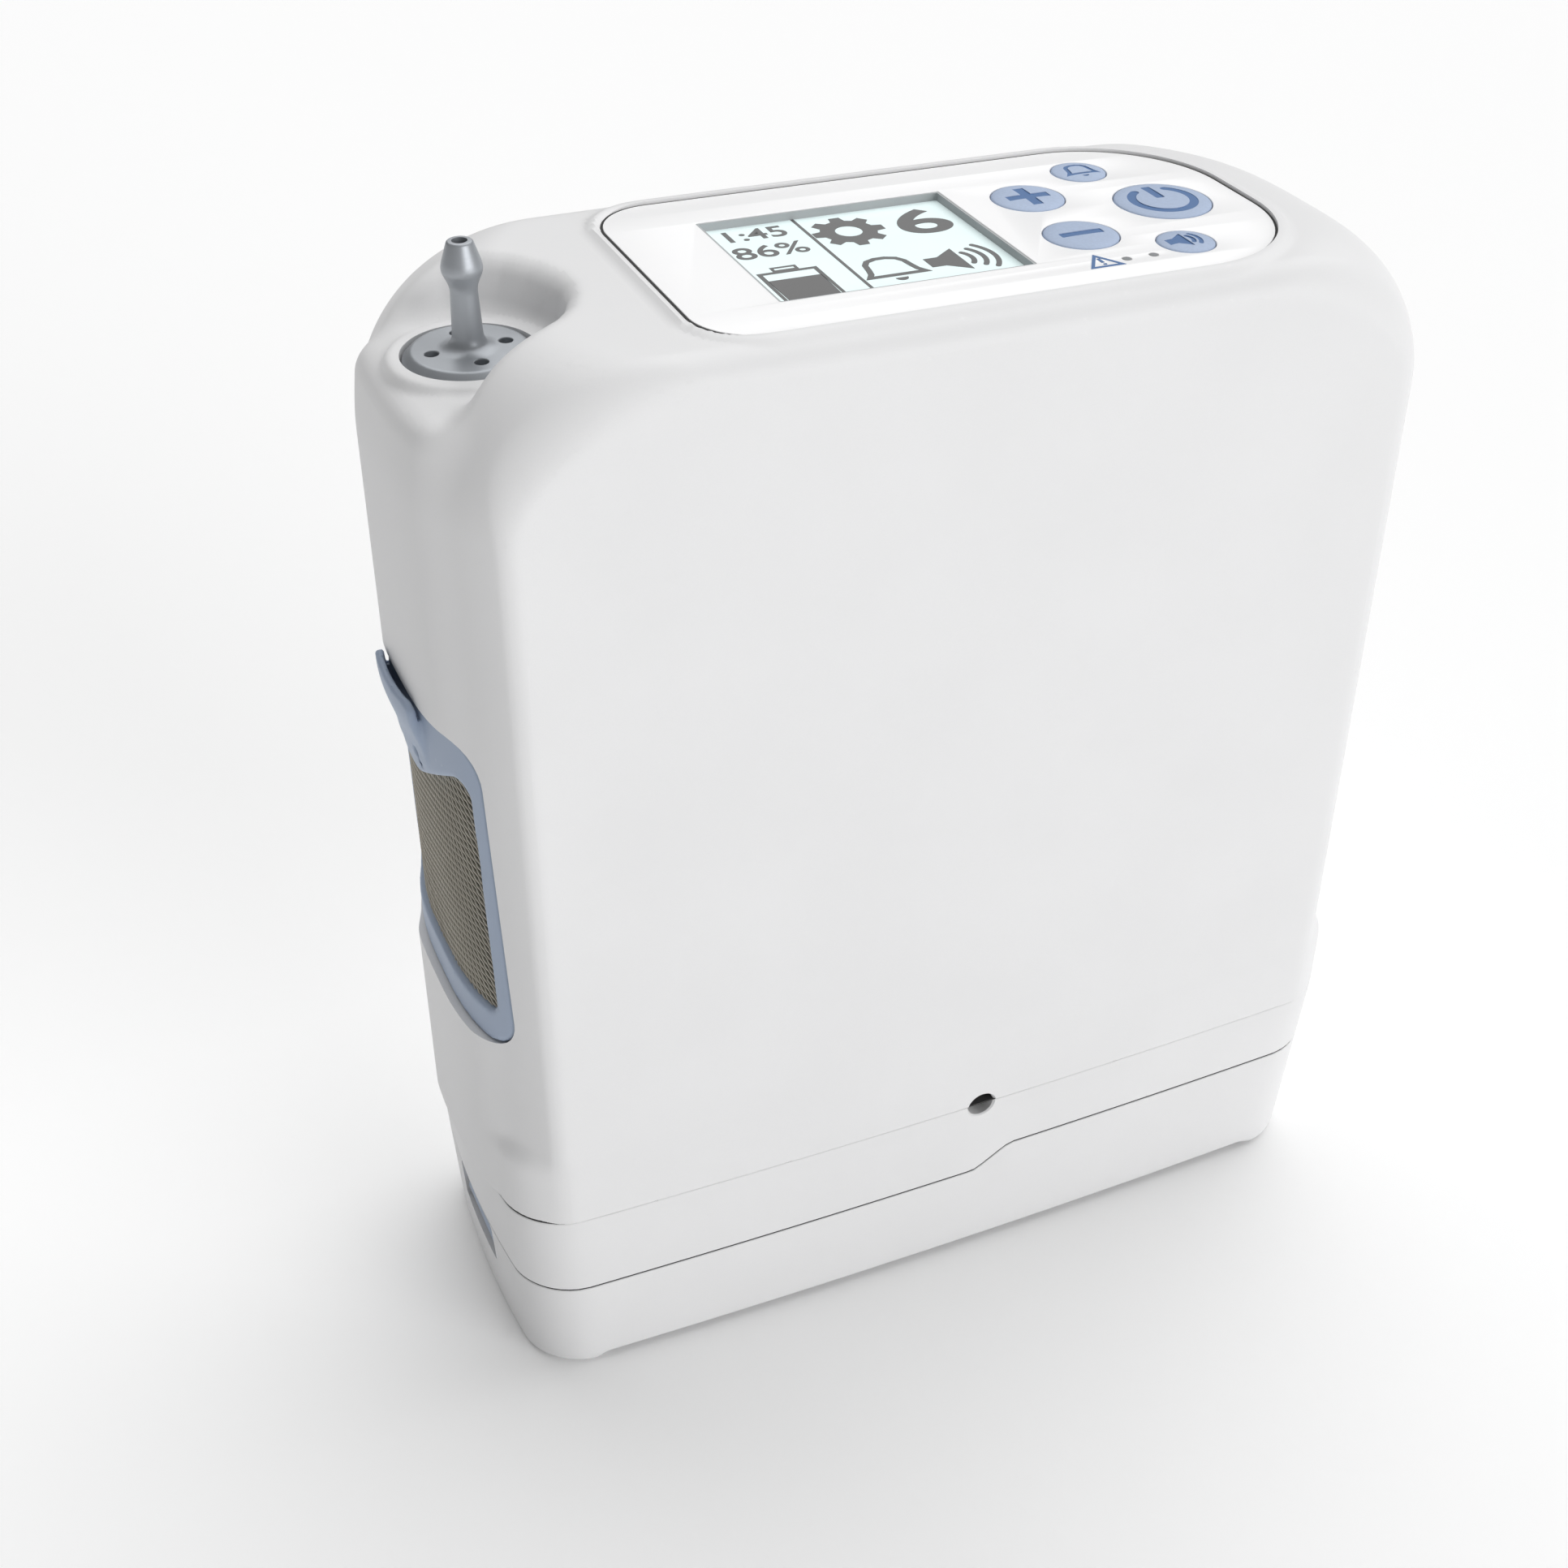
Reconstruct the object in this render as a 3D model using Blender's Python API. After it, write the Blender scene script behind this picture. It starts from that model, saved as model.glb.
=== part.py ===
"""Portable oxygen concentrator with a slide-off battery, as separate subcomponents.

Frame: X runs along the long side (the nozzle end is -X), -Y is the large front face,
+Z is up, and the origin is the middle of the footprint, level with the feet.
Every size below is in millimetres, and build_mesh turns them into metres.
"""
import math

import bmesh
import bpy
from mathutils import Matrix, Vector

MM = 0.001
GAP = 0.3  # running gap between pieces that touch

# Outer body
HALF_LENGTH = 91.3
HALF_DEPTH = 36.0
TOP = 209.9  # rim round the control panel, at the middle of the body
TOP_SLOPE = 0.022  # the top falls this much per millimetre towards +X
DRAFT = 2.35  # how far the feet stand inside the first seam
FRONT_CROWN = 1.9
WALL = 2.4
SHOULDER = 25.0
TOP_ROLL = 6.2
FACET_BOTTOM, FACET_TOP = 55.0, 60.0  # the end faces change section between these heights

# Seams
UPPER_SEAM = 42.5
DECK_LOW, DECK_HIGH = 22.8, 27.8
JOG_START, JOG_END = 4.8, 13.0
SEAM_GAP = 0.3
FLOOR = 3.0

# Control panel, in its own sloped frame: z = 0 is the printed face
PANEL_Z = 209.4
PANEL_LEFT, PANEL_RIGHT, PANEL_HALF = -46.0, 64.0, 29.0
PANEL_THICK = 1.2
WINDOW = (-30.5, 14.9, -18.0, 18.0)
WINDOW_LIP = 1.5  # how far the display reaches under the window's edge
KEYPAD_TOP = -6.6
STEM_END = -4.4  # a button's stem at rest, 1.2 above its dome: 0.8 of travel and some slack
BUTTONS = {  # x, y, radius
    "button_plus": (28.0, 9.3, 6.6),
    "button_minus": (28.0, -9.3, 6.6),
    "button_power": (49.5, 0.0, 8.7),
    "button_alarm": (43.0, 18.0, 5.1),
    "button_sound": (43.0, -18.0, 5.1),
}
LIGHTS = ((29.8, -21.1), (34.9, -21.1))

# Outlet nozzle and the scooped well round it
NOZZLE_X, NOZZLE_Y = -75.6, 0.2
WELL_FLOOR = 201.4
FLANGE_TOP = 203.1
FLANGE_RADIUS = 10.6
FLANGE_THICK = 2.6
NOZZLE_TOP = 220.5
SPANNER_RING = 6.1

# Filters, one in each end face
# corners of the right half from bottom to top: y, z and rounding
FRAME_SHAPE = ((28.5, 81.8, 7.0), (25.9, 146.0, 8.0))
MESH_SHAPE = ((24.4, 88.9, 2.6), (22.9, 137.3, 2.8), (18.8, 137.0, 4.0), (3.2, 128.7, 6.0))
FILTER_LOW, FILTER_HIGH = 81.8, 146.0
FACET_DROP = 11.4  # how far an end face curves back at the body's corners
FRAME_THICK = 2.4
TAB_HALF = 10.5

# Power inlet
JACK_X, JACK_Z = 5.1, 42.2
JACK_BORE = 2.75

# Battery
CELL_RADIUS, CELL_LENGTH = 9.0, 65.0
CELL_Z = 11.9
FOOT_X, FOOT_HEIGHT = 75.5, 1.1
LATCH_PIVOT = (-74.0, 19.0)
LATCH_HALF = 9.8

# Compressor
CRANK_X, CRANK_Z = -18.0, 59.0
CRANK_THROW = 2.5
PISTON_RADIUS = 11.0

# Cooling fan
FAN_BLADES = 7
FAN_TWIST = math.radians(32)
FAN_MIDDLE = -73.3

COLOURS = {  # base colour, roughness, metallic
    "shell": ((0.80, 0.80, 0.81), 0.55, 0.0),
    "panel": ((0.92, 0.92, 0.93), 0.40, 0.0),
    "button": ((0.45, 0.51, 0.63), 0.50, 0.0),
    "frame_blue": ((0.33, 0.38, 0.46), 0.55, 0.0),
    "mesh": ((0.20, 0.19, 0.17), 0.80, 0.0),
    "nozzle": ((0.32, 0.34, 0.36), 0.35, 0.6),
    "screen": ((0.85, 0.97, 0.97), 0.20, 0.0),
    "black": ((0.03, 0.03, 0.03), 0.50, 0.0),
    "rubber": ((0.08, 0.08, 0.08), 0.90, 0.0),
    "board": ((0.03, 0.22, 0.10), 0.50, 0.0),
    "aluminium": ((0.62, 0.63, 0.65), 0.35, 0.9),
    "steel": ((0.55, 0.55, 0.56), 0.30, 1.0),
    "cell": ((0.10, 0.30, 0.50), 0.45, 0.0),
    "grey_plastic": ((0.25, 0.26, 0.27), 0.60, 0.0),
}


# ---------------------------------------------------------------- helpers
def clear_scene():
    for obj in list(bpy.data.objects):
        bpy.data.objects.remove(obj, do_unlink=True)


def material(name):
    found = bpy.data.materials.get(name)
    if found:
        return found
    colour, roughness, metallic = COLOURS[name]
    made = bpy.data.materials.new(name)
    made.use_nodes = True
    shader = made.node_tree.nodes["Principled BSDF"]
    shader.inputs["Base Color"].default_value = (*colour, 1.0)
    shader.inputs["Roughness"].default_value = roughness
    shader.inputs["Metallic"].default_value = metallic
    return made


def build_mesh(name, verts, faces, look=None):
    """A mesh object from millimetre points, with its faces turned outwards."""
    mesh = bpy.data.meshes.new(name)
    mesh.from_pydata([tuple(c * MM for c in v) for v in verts], [], faces)
    work = bmesh.new()
    work.from_mesh(mesh)
    bmesh.ops.recalc_face_normals(work, faces=work.faces)
    work.to_mesh(mesh)
    work.free()
    obj = bpy.data.objects.new(name, mesh)
    bpy.context.scene.collection.objects.link(obj)
    if look:
        obj.data.materials.append(material(look))
    return obj


def helper(obj):
    """Hides a cutter or a piece that only feeds a Boolean."""
    obj.hide_render = True
    obj.display_type = "WIRE"
    return obj


def boolean(target, tool, operation):
    helper(tool)
    step = target.modifiers.new(f"{operation.lower()}_{tool.name}", "BOOLEAN")
    step.operation = operation
    step.object = tool
    step.solver = "EXACT"
    return target


def cut(target, *tools):
    for tool in tools:
        boolean(target, tool, "DIFFERENCE")
    return target


def join(target, *tools):
    for tool in tools:
        boolean(target, tool, "UNION")
    return target


def keep_inside(target, tool):
    return boolean(target, tool, "INTERSECT")


def attach(obj, frame):
    """Parents an object and the pieces that its Booleans use to an empty."""
    obj.parent = frame
    for step in obj.modifiers:
        attach(step.object, frame)


def box(name, x0, x1, y0, y1, z0, z1, look=None):
    verts = [(x, y, z) for z in (z0, z1) for y in (y0, y1) for x in (x0, x1)]
    faces = [(0, 2, 3, 1), (4, 5, 7, 6), (0, 1, 5, 4), (2, 6, 7, 3), (0, 4, 6, 2), (1, 3, 7, 5)]
    return build_mesh(name, verts, faces, look)


AXES = {
    "X": lambda along, u, v: (along, u, v),
    "Y": lambda along, u, v: (u, along, v),
    "Z": lambda along, u, v: (u, v, along),
}


def turned(name, axis, centre, profile, look=None, sides=24):
    """A solid of revolution. profile lists (along, radius) points, and radius 0 closes an end."""
    place = AXES[axis]
    verts, rings = [], []
    for along, radius in profile:
        if radius == 0:
            rings.append([len(verts)])
            verts.append(place(along, *centre))
            continue
        rings.append(range(len(verts), len(verts) + sides))
        for k in range(sides):
            angle = 2 * math.pi * k / sides
            u, v = centre[0] + radius * math.cos(angle), centre[1] + radius * math.sin(angle)
            verts.append(place(along, u, v))
    faces = []
    for low, high in zip(rings, rings[1:]):
        for k in range(sides):
            n = (k + 1) % sides
            if len(low) == 1:
                faces.append((low[0], high[k], high[n]))
            elif len(high) == 1:
                faces.append((low[k], high[0], low[n]))
            else:
                faces.append((low[k], low[n], high[n], high[k]))
    for ring in (rings[0], rings[-1]):
        if len(ring) > 1:
            faces.append(tuple(ring))
    obj = build_mesh(name, verts, faces, look)
    obj.data.shade_smooth()
    obj.data.set_sharp_from_angle(angle=math.radians(35))
    return obj


def cylinder(name, axis, centre, low, high, radius, look=None, sides=24):
    return turned(name, axis, centre, [(low, radius), (high, radius)], look, sides)


def tube(name, axis, centre, low, high, outer, inner, look=None, sides=24):
    body = cylinder(name, axis, centre, low, high, outer, look, sides)
    return cut(body, cylinder(name + "_bore", axis, centre, low - 5, high + 5, inner, None, sides))


def prism(name, axis, outline, low, high, look=None):
    """An outline extruded along an axis. Its points are the other two coordinates, in XYZ order."""
    place = AXES[axis]
    count = len(outline)
    verts = [place(along, *point) for along in (low, high) for point in outline]
    faces = [tuple(range(count)), tuple(range(count, 2 * count))]
    for k in range(count):
        n = (k + 1) % count
        faces.append((k, n, count + n, count + k))
    return build_mesh(name, verts, faces, look)


def arc(centre, radius, start, end, steps):
    """Points along an arc, with its angles in degrees."""
    angles = [math.radians(start + (end - start) * k / steps) for k in range(steps + 1)]
    return [(centre[0] + radius * math.cos(a), centre[1] + radius * math.sin(a)) for a in angles]


# ---------------------------------------------------------------- body section
def blend(value, low, high):
    t = min(max((value - low) / (high - low), 0.0), 1.0)
    return t * t * (3 - 2 * t)


def quarter(half_x, half_y, drop, power, corner):
    """A quarter of the plan outline, from the end face's middle round to the front's middle."""
    def side(y):
        return half_x - drop * (abs(y) / HALF_DEPTH) ** power

    def front(x):
        return half_y - FRONT_CROWN * (x / HALF_LENGTH) ** 2

    apex_y = half_y
    for _ in range(4):
        apex_x = side(apex_y)
        apex_y = front(apex_x)
    start_y, end_x = apex_y - corner, apex_x - corner
    points = [(side(start_y * k / 4), start_y * k / 4) for k in range(4)]
    p0, p1, p2 = (side(start_y), start_y), (apex_x, apex_y), (end_x, front(end_x))
    weight = 0.72
    for k in range(5):
        t = k / 4
        a, b, c = (1 - t) ** 2, 2 * weight * t * (1 - t), t * t
        total = a + b + c
        points.append(tuple((a * p0[i] + b * p1[i] + c * p2[i]) / total for i in (0, 1)))
    points += [(end_x * (1 - k / 3), front(end_x * (1 - k / 3))) for k in range(1, 4)]
    return points


def section(z, inset=0.0, lift=0.0):
    """The closed plan outline at height z, moved inwards by inset. lift looks that far further up."""
    at = z + lift
    half_x, half_y = HALF_LENGTH, HALF_DEPTH
    if at < UPPER_SEAM:
        half_x -= DRAFT * (UPPER_SEAM - at) / UPPER_SEAM
        half_y -= DRAFT * (UPPER_SEAM - at) / UPPER_SEAM
    facet = blend(at, FACET_BOTTOM, FACET_TOP)
    half_y -= 0.6 * max(at - FACET_TOP, 0.0) / (TOP - FACET_TOP)
    drop, power, corner = 3.4 + (FACET_DROP - 3.4) * facet, 2 + facet, 11 - 7.5 * facet
    rise = min(max(at - (TOP - SHOULDER), 0.0), SHOULDER)
    half_x -= SHOULDER - math.sqrt(SHOULDER**2 - rise**2)
    roll = min(max(at - (TOP - TOP_ROLL), 0.0), TOP_ROLL)
    half_y -= TOP_ROLL - math.sqrt(TOP_ROLL**2 - roll**2)
    corner += 8 * blend(at, TOP - SHOULDER, TOP)
    edge = quarter(half_x - inset, half_y - inset, drop, power, corner)
    ring = edge[:-1] + [(-x, y) for x, y in edge[:0:-1]]
    ring += [(-x, -y) for x, y in edge[:-1]] + [(x, -y) for x, y in edge[:0:-1]]
    slope = TOP_SLOPE * blend(z, 150.0, TOP)
    return [(x, y, z - slope * x) for x, y in ring]


def loft(name, rings, look=None):
    count = len(rings[0])
    verts = [point for ring in rings for point in ring]
    faces = [tuple(range(count)), tuple(range(len(verts) - count, len(verts)))]
    for row in range(len(rings) - 1):
        for k in range(count):
            n = (k + 1) % count
            low = row * count
            faces.append((low + k, low + n, low + count + n, low + count + k))
    obj = build_mesh(name, verts, faces, look)
    obj.data.shade_smooth()
    obj.data.set_sharp_from_angle(angle=math.radians(40))
    return obj


def deck_prism(name, shift, far):
    """A block between the stepped line that parts body and battery, and the level plane z = far."""
    middle = (JOG_START + JOG_END) / 2
    low, high = DECK_LOW + shift, DECK_HIGH + shift
    line = [(JOG_START, low), (middle - 1.6, low + 1.0), (middle + 1.6, high - 1.0), (JOG_END, high)]
    return prism(name, "Y", [(-120, far), (-120, low), *line, (120, high), (120, far)], -60, 60)


# ---------------------------------------------------------------- end filters
def end_band(name, inner, outer, z0, z1, sign, look=None):
    """A curved plate that follows the end face between two depths below its surface."""
    steps = [-31 + 62 * k / 12 for k in range(13)]

    def edge(depth):
        return [(HALF_LENGTH - depth - FACET_DROP * (abs(y) / HALF_DEPTH) ** 3, y) for y in steps]

    outline = [(sign * x, y) for x, y in edge(outer) + edge(inner)[::-1]]
    return prism(name, "Z", outline, z0, z1, look)


def filter_prism(name, grow, shape):
    """A prism right through the body, from the rounded corners of one half of an outline in YZ."""
    ring = list(shape) + [(-y, z, radius) for y, z, radius in shape[::-1]]
    points = []
    for k, (y, z, radius) in enumerate(ring):
        here = Vector((y, z))
        a = (here - Vector(ring[k - 1][:2])).normalized()
        b = (Vector(ring[(k + 1) % len(ring)][:2]) - here).normalized()
        out_a, out_b = Vector((a.y, -a.x)), Vector((b.y, -b.x))
        corner = here + (out_a + out_b) * grow / (1 + out_a.dot(out_b))
        half_turn = a.angle(b) / 2
        reach = (radius + (grow if a.cross(b) > 0 else -grow)) * math.tan(half_turn)
        start, end, pull = corner - a * reach, corner + b * reach, math.cos(half_turn)
        for t in (0.0, 0.25, 0.5, 0.75, 1.0):
            shares = ((1 - t) ** 2, 2 * t * (1 - t) * pull, t * t)
            points.append((start * shares[0] + corner * shares[1] + end * shares[2]) / sum(shares))
    return prism(name, "X", [tuple(p) for p in points], -110, 110)


def end_filter(side, sign):
    """The snap-in frame with its pull tab, and the fine mesh that it carries."""
    low, high = FILTER_LOW - 5, FILTER_HIGH + 5
    frame = end_band(f"filter_frame_{side}", FRAME_THICK + 0.1, 0.1, low, high, sign, "frame_blue")
    keep_inside(frame, filter_prism(f"frame_{side}_edge", 0, FRAME_SHAPE))
    cut(frame, filter_prism(f"frame_{side}_window", 0, MESH_SHAPE))
    tab_line = [(91.0, 133.5), (92.6, 134.6), (94.0, 138.5), (94.6, 144.8), (93.2, 144.8), (92.4, 139.5),
                (91.0, 138.5)]
    join(frame, prism(f"tab_{side}", "Y", [(sign * x, z) for x, z in tab_line], -TAB_HALF, TAB_HALF))
    weave = end_band(f"filter_mesh_{side}", 1.9, 1.4, low, high, sign, "mesh")
    keep_inside(weave, filter_prism(f"mesh_{side}_edge", -GAP, MESH_SHAPE))


# ---------------------------------------------------------------- housings
def well_cutter():
    """The scoop round the nozzle: open to the -X end, with a cut-across near wall."""
    def outline(grow, z):
        far = arc((-71.5, 3.0), 13.5 + grow, 90, 0, 6)
        near = [(-60.5 + grow, -3.0), (-65.5 + grow * 0.8, -11.0 - grow * 0.4), (-72.0, -14.6 - grow * 0.4),
                (-80.5, -19.0 - grow * 0.4), (-104.0, -24.5 - grow * 0.4)]
        return [(x, y, z) for x, y in [(-104.0, 16.5 + grow), (-85.0, 16.5 + grow), *far, *near]]

    levels = [(0.0, WELL_FLOOR), (1.2, WELL_FLOOR + 2.0), (2.6, WELL_FLOOR + 5.0), (4.0, WELL_FLOOR + 7.6),
              (6.5, WELL_FLOOR + 11.0)]
    return loft("well", [outline(grow, z) for grow, z in levels])


def panel_outline(inset, steps=5):
    """The control panel's D shape: tight corners on the left, round ones on the right."""
    left, right, half = PANEL_LEFT + inset, PANEL_RIGHT - inset, PANEL_HALF - inset
    small, large = 10 - inset, 22 - inset
    points = arc((left + small, -half + small + 0.6), small, 180, 270, steps)
    points += [(10.0, -half)]
    points += arc((right - large, -half + large + 1.4), large, 270, 360, steps + 2)
    points += arc((right - large, half - large - 1.4), large, 0, 90, steps + 2)
    points += [(10.0, half)]
    points += arc((left + small, half - small - 0.6), small, 90, 180, steps)
    return points


def upper_housing(panel_frame):
    heights = [UPPER_SEAM + SEAM_GAP / 2, 52, FACET_BOTTOM, 57.5, FACET_TOP, 120]
    heights += [184.9, 190, 195, 199, 203.7, 206.5, 208.6, 209.6]
    shell = loft("upper_housing", [section(z) for z in heights], "shell")
    cavity = loft("upper_cavity", [section(z, WALL, 4.2) for z in (38, 60, 120, 181, 191, 199, 204.6)])
    cut(cavity, box("well_backing", -110, -52, -40, 40, 197.0, 220))
    for side, sign in (("left", -1), ("right", 1)):
        ends = sorted((sign * 110, sign * 82.4))
        cut(cavity, box(f"filter_backing_{side}", *ends, -33, 33, FILTER_LOW - 3, FILTER_HIGH + 3))
    cut(shell, cavity, well_cutter())
    low, high, centre = WELL_FLOOR - 1.5, WELL_FLOOR + 0.8, (NOZZLE_X, NOZZLE_Y)
    join(shell, turned("flange_ring", "Z", centre,
                       [(low, 13.6), (WELL_FLOOR, 13.6), (high, 12.6), (high, 11.2), (low, 11.2)]))
    seat_z = FLANGE_TOP - FLANGE_THICK - GAP
    cut(shell, cylinder("flange_seat", "Z", centre, seat_z, 230, FLANGE_RADIUS + GAP))
    cut(shell, cylinder("nozzle_hole", "Z", centre, 180, 230, 5.3))
    pocket = prism("panel_pocket", "Z", panel_outline(-0.25), -PANEL_THICK - GAP, 8)
    opening = prism("panel_opening", "Z", panel_outline(3.0), -14, 8)
    attach(pocket, panel_frame)
    attach(opening, panel_frame)
    cut(shell, pocket, opening)
    for side, sign in (("left", -1), ("right", 1)):
        ends = FILTER_LOW - 5, FILTER_HIGH + 5
        seat = end_band(f"filter_seat_{side}", FRAME_THICK + 0.4, -9, *ends, sign)
        keep_inside(seat, filter_prism(f"seat_{side}_edge", GAP, FRAME_SHAPE))
        ends = sorted((sign * 110, sign * 60))
        cut(shell, seat, box(f"air_window_{side}", *ends, -22, 22, FILTER_LOW + 8.2, FILTER_HIGH - 18))
    return cut(shell, jack_hole("upper"))


def jack_hole(name):
    return cylinder(f"jack_hole_{name}", "Y", (JACK_X, JACK_Z), -60, -31, JACK_BORE)


def rail_outline(side, grow, top_gap):
    """A T rail in YZ: the stem hangs through the floor and the head rides above it."""
    y = 20.0 * side
    neck, head = 2.0 + grow, 4.0 + grow
    knee, top = DECK_LOW + FLOOR + 0.65 - top_gap, DECK_LOW + 4.8 + top_gap
    return [(y - neck, 22.0), (y + neck, 22.0), (y + neck, knee), (y + head, knee), (y + head, top),
            (y - head, top), (y - head, knee), (y - neck, knee)]


def lower_housing():
    rings = [section(z) for z in (20, 32, UPPER_SEAM - SEAM_GAP / 2)]
    tray = loft("lower_housing", rings, "shell")
    cut(tray, deck_prism("battery_space", SEAM_GAP / 2, -10))
    cavity = loft("lower_cavity", [section(z, WALL) for z in (21, 32, 50)])
    keep_inside(cavity, deck_prism("above_floor", SEAM_GAP / 2 + FLOOR, 80))
    cut(tray, cavity)
    for name, side in (("front", -1), ("back", 1)):
        cut(tray, prism(f"rail_slot_{name}", "X", rail_outline(side, 0.3, 0.3), -77, 20))
    cut(tray, box("latch_groove", -87.8, 20, -4, 4, 15, DECK_LOW + 2.0))
    cut(tray, box("blade_window", -3.9, 16, -8, 8, DECK_LOW + 0.8, DECK_LOW + 3.7),
        box("contact_window", -3.9, 1.6, -8, 8, DECK_LOW + 0.8, 50))
    return cut(tray, jack_hole("lower"))


# ---------------------------------------------------------------- battery
def battery_case():
    case = loft("battery_case", [section(z, inset) for z, inset in
                                 ((0, 1.5), (0.45, 0.45), (1.5, 0.0), (10, 0.0), (30, 0.0))], "shell")
    cut(case, deck_prism("above_battery", -SEAM_GAP / 2, 80))
    cavity = loft("battery_cavity", [section(z, WALL) for z in (2.7, 10, 40)])
    cut(cavity, box("latch_block", -110, -70, -14, 14, -5, 60))
    cut(case, cavity)
    cut(case, box("foot_gap_x", -FOOT_X, FOOT_X, -60, 60, -5, FOOT_HEIGHT),
        box("foot_gap_y", -110, 110, -20, 20, -5, FOOT_HEIGHT))
    cut(case, box("latch_pocket", -110, -71.4, -LATCH_HALF - 0.5, LATCH_HALF + 0.5, 12.5, 40))
    cut(case, cylinder("latch_pin_hole", "Y", LATCH_PIVOT, -12.4, 12.4, 1.1, sides=16))
    return cut(case, cylinder("spring_hole", "Z", (-84.0, 0.0), 7.8, 20, 2.7, sides=16))


def battery_lid():
    lid = loft("battery_lid", [section(z, WALL + GAP) for z in (18, 24, 32)], "grey_plastic")
    keep_inside(lid, deck_prism("lid_top", -SEAM_GAP / 2, 5))
    cut(lid, deck_prism("lid_under", -SEAM_GAP / 2 - 1.5, -5))
    cut(lid, box("lid_notch", -110, -69.6, -14.4, 14.4, 0, 60))
    for name, side in (("front", -1), ("back", 1)):
        outline = rail_outline(side, 0.0, 0.0)
        join(lid, prism(f"rail_{name}", "X", outline, -66, -14))
    return cut(lid, box("socket_window", JOG_START - 2, 22, -9.3, 9.3, DECK_LOW + 0.7, DECK_HIGH - 1.7))


def battery_inside():
    pitch = 2 * CELL_RADIUS + GAP
    for row, y in enumerate((-pitch, 0.0, pitch)):
        for column, low in enumerate((-47.5, 18.2)):
            high = low + CELL_LENGTH
            profile = [(low, 7.6), (low + 0.5, CELL_RADIUS), (high - 2.0, CELL_RADIUS), (high - 1.2, 7.8),
                       (high - 1.2, 3.2), (high, 3.2)]
            name = f"battery_cell_{row * 2 + column + 1}"
            turned(name, "X", (y, CELL_Z), profile, "cell", 16)
    board = box("battery_board", 24, 80, -24, 24, 21.6, 23.0, "board")
    join(board, box("board_fuse", 30, 42, -6, 4, 22.8, 25.2), box("board_chip", 52, 60, -4, 4, 22.8, 24.2))
    socket = box("battery_socket", 10.5, 21, -9, 9, DECK_LOW + 1.0, DECK_HIGH - 2.0, "black")
    for k in (-5, 0, 5):
        cut(socket, box(f"socket_slot_{k + 5}", 5, 17, k - 0.9, k + 0.9, DECK_LOW, DECK_HIGH))


def power_blades():
    """Three contact blades on a carrier in the lower housing, reaching into the battery's socket."""
    carrier = box("power_contacts", -3.5, 1.2, -7.6, 7.6, DECK_LOW + 1.1, DECK_LOW + 10, "steel")
    for k in (-5, 0, 5):
        join(carrier, box(f"blade_{k + 5}", 0.5, 15.5, k - 0.5, k + 0.5, DECK_LOW + 1.3, DECK_LOW + 2.8))


def battery_latch():
    x, z = LATCH_PIVOT
    plate = [(-89.4, 15.0), (-88.8, 22.3), (-86.6, 22.3), (-86.5, 24.3), (-84.2, 24.3), (-83.6, 22.3)]
    plate += [(-76, 21.4), (x, z + 2.2), (x + 2.1, z), (x, z - 2.2), (-76, 17.2), (-86.0, 17.2),
              (-86.8, 15.0)]
    latch = prism("battery_latch", "Y", plate, -LATCH_HALF, LATCH_HALF, "frame_blue")
    for name, near, far in (("front", -30, -3.5), ("back", 3.5, 30)):
        cut(latch, box(f"nose_{name}", -95, -80, near, far, 22.3, 40))
    cut(latch, cylinder("latch_bore", "Y", LATCH_PIVOT, -30, 30, 1.3, sides=16))
    cylinder("latch_pin", "Y", LATCH_PIVOT, -12, 12, 0.95, "steel", sides=16)


def coil(name, x, y, low, high, radius, wire, turns, look):
    """A compression spring as a bevelled curve, wound about a line along Z."""
    curve = bpy.data.curves.new(name, "CURVE")
    curve.dimensions = "3D"
    curve.bevel_depth = wire * MM
    curve.bevel_resolution = 1
    curve.use_fill_caps = True
    steps = turns * 10
    line = curve.splines.new("POLY")
    line.points.add(steps)
    for k in range(steps + 1):
        angle = 2 * math.pi * k / 10
        rise = low + wire + (high - low - 2 * wire) * k / steps
        at = Vector((x + radius * math.cos(angle), y + radius * math.sin(angle), rise))
        line.points[k].co = (*(at * MM), 1)
    obj = bpy.data.objects.new(name, curve)
    bpy.context.scene.collection.objects.link(obj)
    obj.data.materials.append(material(look))


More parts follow.
